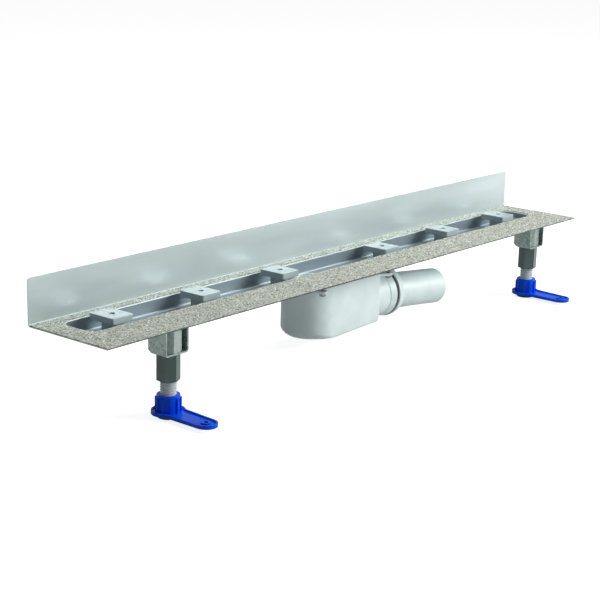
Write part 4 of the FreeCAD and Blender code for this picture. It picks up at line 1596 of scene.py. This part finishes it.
    def plate(self) -> Workpiece:
        """Cuts the round base with its tongue, and sinks the pocket inside its rim.

        Returns:
            The workpiece, in edit mode.
        """
        middle = self.at(self.base_under)
        outline = [*arc(middle, self.base_radius, -self.tongue_start, 180 + self.tongue_start, steps=40),
                   *arc(middle + Y * self.tip_y, self.tip, 180, 360, steps=16)]
        piece = Workpiece.plate("left_base", outline, Z * (self.base_top - self.base_under))
        piece.pick(Pick.FACES, lambda p, n: n.z > ALONG)
        return piece.inset(self.rim).inset(self.break_edge, -self.pocket)

    def base(self) -> bpy.types.Object:
        """Welds the ribbed hub and the boss to the plate, bores both and turns the whole on the rod.

        Returns:
            The finished base.
        """
        piece = self.plate()
        middle = self.at(self.base_under + self.hub_sunk)
        hub = Workpiece.prism("hub", middle, self.hub_radius, self.hub_top - middle.z, self.hub_sides)
        hub.bisect(self.at(self.hub_top - self.hub_shoulder), Z)
        piece.join(hub.pick(Pick.FACES, self.is_rib).push(self.hub_rib), Blend.WELD)
        tip = middle + Y * self.tip_y
        boss = Workpiece.prism("boss", tip, self.boss, self.base_top - middle.z + self.boss_rise, sides=40)
        piece.join(boss, Blend.WELD)
        piece.bore(tip, Z, self.tongue_hole, self.drill, sides=32)
        piece.bore(self.at(self.hub_top), Z, self.rod.radius + self.nose_play,
                   2 * (self.hub_top - self.rod_under))
        piece.soften(self.soft_edge, angle=50.0)
        piece.rotate(self.turn, middle)
        return piece.done(BLUE_PLASTIC, "left_foot", "left_foot_base")

    def pad(self) -> bpy.types.Object:
        """Rounds the pad's lower edge and sinks a shallow suction face into its underside.

        Returns:
            The finished pad.
        """
        piece = Workpiece.prism("left_rubber_pad", self.at(self.pad_under), self.pad_radius,
                                self.base_under - self.pad_under, sides=64)
        piece.pick(Pick.FACES, lambda p, n: n.z < -ALONG)
        piece.inset(2 * self.pad_edge).inset(self.pad_edge / 2, -self.pad_edge / 2)
        piece.pick(Pick.EDGES, lambda p, d: p.z < self.pad_under + LEVEL
                   and math.hypot(p.x + self.x, p.y - self.y) > self.pad_radius - SLACK)
        piece.bevel(self.pad_edge, segments=4)
        return piece.done(BLACK_RUBBER, "left_foot", "left_foot_pad")

    def build(self) -> None:
        """Makes the left leg, and copies to the right all but the sleeve, which is turned differently."""
        across = X * (2 * self.x)
        copied(self.bracket(), "right_leg_bracket", across, ZINC_STEEL, "channel", "right_foot_bracket")
        # The right locknut keeps the plain zinc finish, without the left one's painted light.
        copied(self.locknut(), "right_locknut", across, ZINC_STEEL, "channel", "right_leg_locknut")
        self.sleeve(0, "left_hexagonal_sleeve", "left_leg_sleeve")
        self.sleeve(1, "right_hexagonal_sleeve", "right_leg_sleeve")
        copied(self.threaded_rod(), "right_threaded_rod", across, ROD_NYLON, "right_leg", "right_leg_rod")
        copied(self.base(), "right_base", across, BLUE_PLASTIC, "right_foot", "right_foot_base")
        copied(self.pad(), "right_rubber_pad", across, BLACK_RUBBER, "right_foot", "right_foot_pad")


@dataclass
class Studio:
    """White surroundings, a floor that keeps the shadow, a key lamp at the right front and one above."""

    camera_place: tuple[float, ...] = (-1.56194, -1.28641, 0.45280)
    azimuth: float = 50.3096
    elevation: float = 15.027
    roll: float = 1.43463
    focal_pixels: float = 1539.035
    image_pixels: int = 600
    sensor: float = 36.0
    clip: tuple[float, float] = (0.01, 100.0)
    floor_size: float = 30.0
    world_fill: float = 0.15
    dark_from: float = 0.55
    dark_right: float = 0.05
    key_place: tuple[float, ...] = (2.2, -2.75, 1.4)
    key_aim: tuple[float, ...] = (0.05, -0.05, -0.05)
    key_size: tuple[float, float] = (1.6, 1.6)
    key_power: float = 116.0
    top_place: tuple[float, ...] = (0.45, -0.3, 1.7)
    top_aim: tuple[float, ...] = (0.1, -0.05, 0.0)
    top_size: tuple[float, float] = (1.6, 1.0)
    top_power: float = 17.0
    floor_white: float = 0.62
    floor_lift: float = 0.86
    floor_mirrored: float = 0.42

    def camera(self) -> None:
        """Stands the camera where the photograph was taken from."""
        azimuth, elevation, roll = (math.radians(v) for v in (self.azimuth, self.elevation, self.roll))
        ahead = Vector((math.cos(elevation) * math.sin(azimuth), math.cos(elevation) * math.cos(azimuth),
                        -math.sin(elevation)))
        level = Vector((math.cos(azimuth), -math.sin(azimuth), 0))
        plumb = level.cross(ahead)
        right = level * math.cos(roll) + plumb * math.sin(roll)
        up = plumb * math.cos(roll) - level * math.sin(roll)
        data = bpy.data.cameras.new("camera")
        data.sensor_width = self.sensor
        data.lens = self.focal_pixels / self.image_pixels * self.sensor
        data.clip_start, data.clip_end = self.clip
        camera = bpy.data.objects.new("camera", data)
        turn = Matrix((right, up, -ahead)).transposed().to_4x4()
        camera.matrix_world = Matrix.Translation(Vector(self.camera_place)) @ turn
        bpy.context.scene.collection.objects.link(camera)
        bpy.context.scene.camera = camera

    def seen_or_mirrored(self, tree: Tree, mirrored: Socket | float) -> Socket:
        """Weighs rays that see the surroundings against the light that falls on things.

        Args:
            tree: the node tree.
            mirrored: the weight of what is mirrored.
        Returns:
            One for rays from the camera, that weight off gloss or through glass, and zero for any other.
        """
        path = add_node(tree, "LightPath").outputs
        either = {0: path["Is Glossy Ray"], 1: path["Is Transmission Ray"]}
        gloss = add_node(tree, "Math", {"operation": "MAXIMUM"}, either).outputs[0]
        weighed = add_node(tree, "Math", {"operation": "MULTIPLY"}, {0: gloss, 1: mirrored}).outputs[0]
        any_of = {0: path["Is Camera Ray"], 1: weighed}
        return add_node(tree, "Math", {"operation": "MAXIMUM"}, any_of).outputs[0]

    def world(self) -> None:
        """White where it is seen, mirrored darker towards the far right, and a weak fill where it lights."""
        world = bpy.data.worlds.new("studio")
        bpy.context.scene.world = world
        world.use_nodes = True
        tree = world.node_tree
        around = add_node(tree, "TexCoord")
        towards = add_node(tree, "SeparateXYZ", {}, {0: around.outputs["Generated"]})
        fall = {"Value": towards.outputs["X"], "From Min": self.dark_from, "From Max": 1.0,
                "To Min": 1.0, "To Max": self.dark_right}
        mirrored = add_node(tree, "MapRange", {}, fall)
        seen = self.seen_or_mirrored(tree, mirrored.outputs["Result"])
        strength = add_node(tree, "MapRange", {}, {"Value": seen, "To Min": self.world_fill, "To Max": 1.0})
        tree.links.new(strength.outputs["Result"], tree.nodes["Background"].inputs["Strength"])
        tree.nodes["Background"].inputs["Color"].default_value = (1, 1, 1, 1)

    def floor(self, level: float) -> None:
        """Lays a white floor that keeps the drain's shadow.

        Args:
            level: its height in millimetres.
        """
        deselect()
        bpy.ops.mesh.primitive_plane_add(size=self.floor_size, location=(0, 0, level * MM))
        floor = bpy.context.active_object
        floor.name = "floor"
        paper = bpy.data.materials.new("matte white paper")
        paper.use_nodes = True
        tree = paper.node_tree
        tree.nodes.remove(tree.nodes["Principled BSDF"])
        seen = self.seen_or_mirrored(tree, self.floor_mirrored)
        shadow = add_node(tree, "BsdfDiffuse", {}, {"Color": (*cube(self.floor_white), 1.0)})
        glow = add_node(tree, "Math", {"operation": "MULTIPLY"}, {0: seen, 1: self.floor_lift})
        lift = add_node(tree, "Emission", {}, {"Strength": glow.outputs[0]})
        both = add_node(tree, "AddShader", {}, {0: shadow.outputs[0], 1: lift.outputs[0]})
        tree.links.new(both.outputs[0], tree.nodes["Material Output"].inputs["Surface"])
        floor.data.materials.append(paper)

    def lamp(self, name: str, place: Vector, aim: Vector, size: tuple[float, float], power: float) -> None:
        """Hangs a soft rectangular lamp.

        Args:
            name: the lamp's name.
            place: where it hangs, in metres.
            aim: where it points, in metres.
            size: its width and height in metres.
            power: in watts.
        """
        data = bpy.data.lights.new(name, "AREA")
        data.shape = "RECTANGLE"
        data.size, data.size_y = size
        data.energy = power
        lamp = bpy.data.objects.new(name, data)
        lamp.location = place
        lamp.rotation_euler = (aim - place).to_track_quat("-Z", "Y").to_euler()
        bpy.context.scene.collection.objects.link(lamp)

    def build(self, floor_level: float) -> None:
        """Sets up the whole studio.

        Args:
            floor_level: the floor's height in millimetres.
        """
        self.camera()
        self.world()
        self.floor(floor_level)
        self.lamp("key", Vector(self.key_place), Vector(self.key_aim), self.key_size, self.key_power)
        self.lamp("top", Vector(self.top_place), Vector(self.top_aim), self.top_size, self.top_power)
        bpy.context.scene.view_settings.view_transform = "Standard"
        LOG.info("studio: camera, world, floor and lamps")


def dress_nodes() -> None:
    """Gives every CAD node that still shows its finish, by the record's slot for it."""
    finishes = {f.slot: f for f in (BRUSHED_STAINLESS, QUARTZ_COAT, STUD_STEEL, WHITE_PP, SUPPORT_PLASTIC,
                                    BLACK_RUBBER, ZINC_STEEL, SLEEVE_PLASTIC, ROD_NYLON, BLUE_PLASTIC)}
    slots = {part["node"]: part["material_slot"] for part in frame["record"]["subparts"]}
    for name, node in frame["nodes"].items():
        node.data.materials.clear()
        node.data.materials.append(finishes[slots[name]].material())
    LOG.info("dressed %d CAD nodes", len(frame["nodes"]))


def main() -> None:
    """Builds the drain's pieces in order, then the studio."""
    logging.basicConfig(level=logging.INFO, format="%(name)s: %(message)s")
    dress_nodes()
    for assembly in (ChannelSheet(), CoverSupports(), Trap(), Inlet(), Outlet(), Leg()):
        assembly.build()
    Studio().build(Leg.pad_under)


if __name__ == "__main__":
    main()
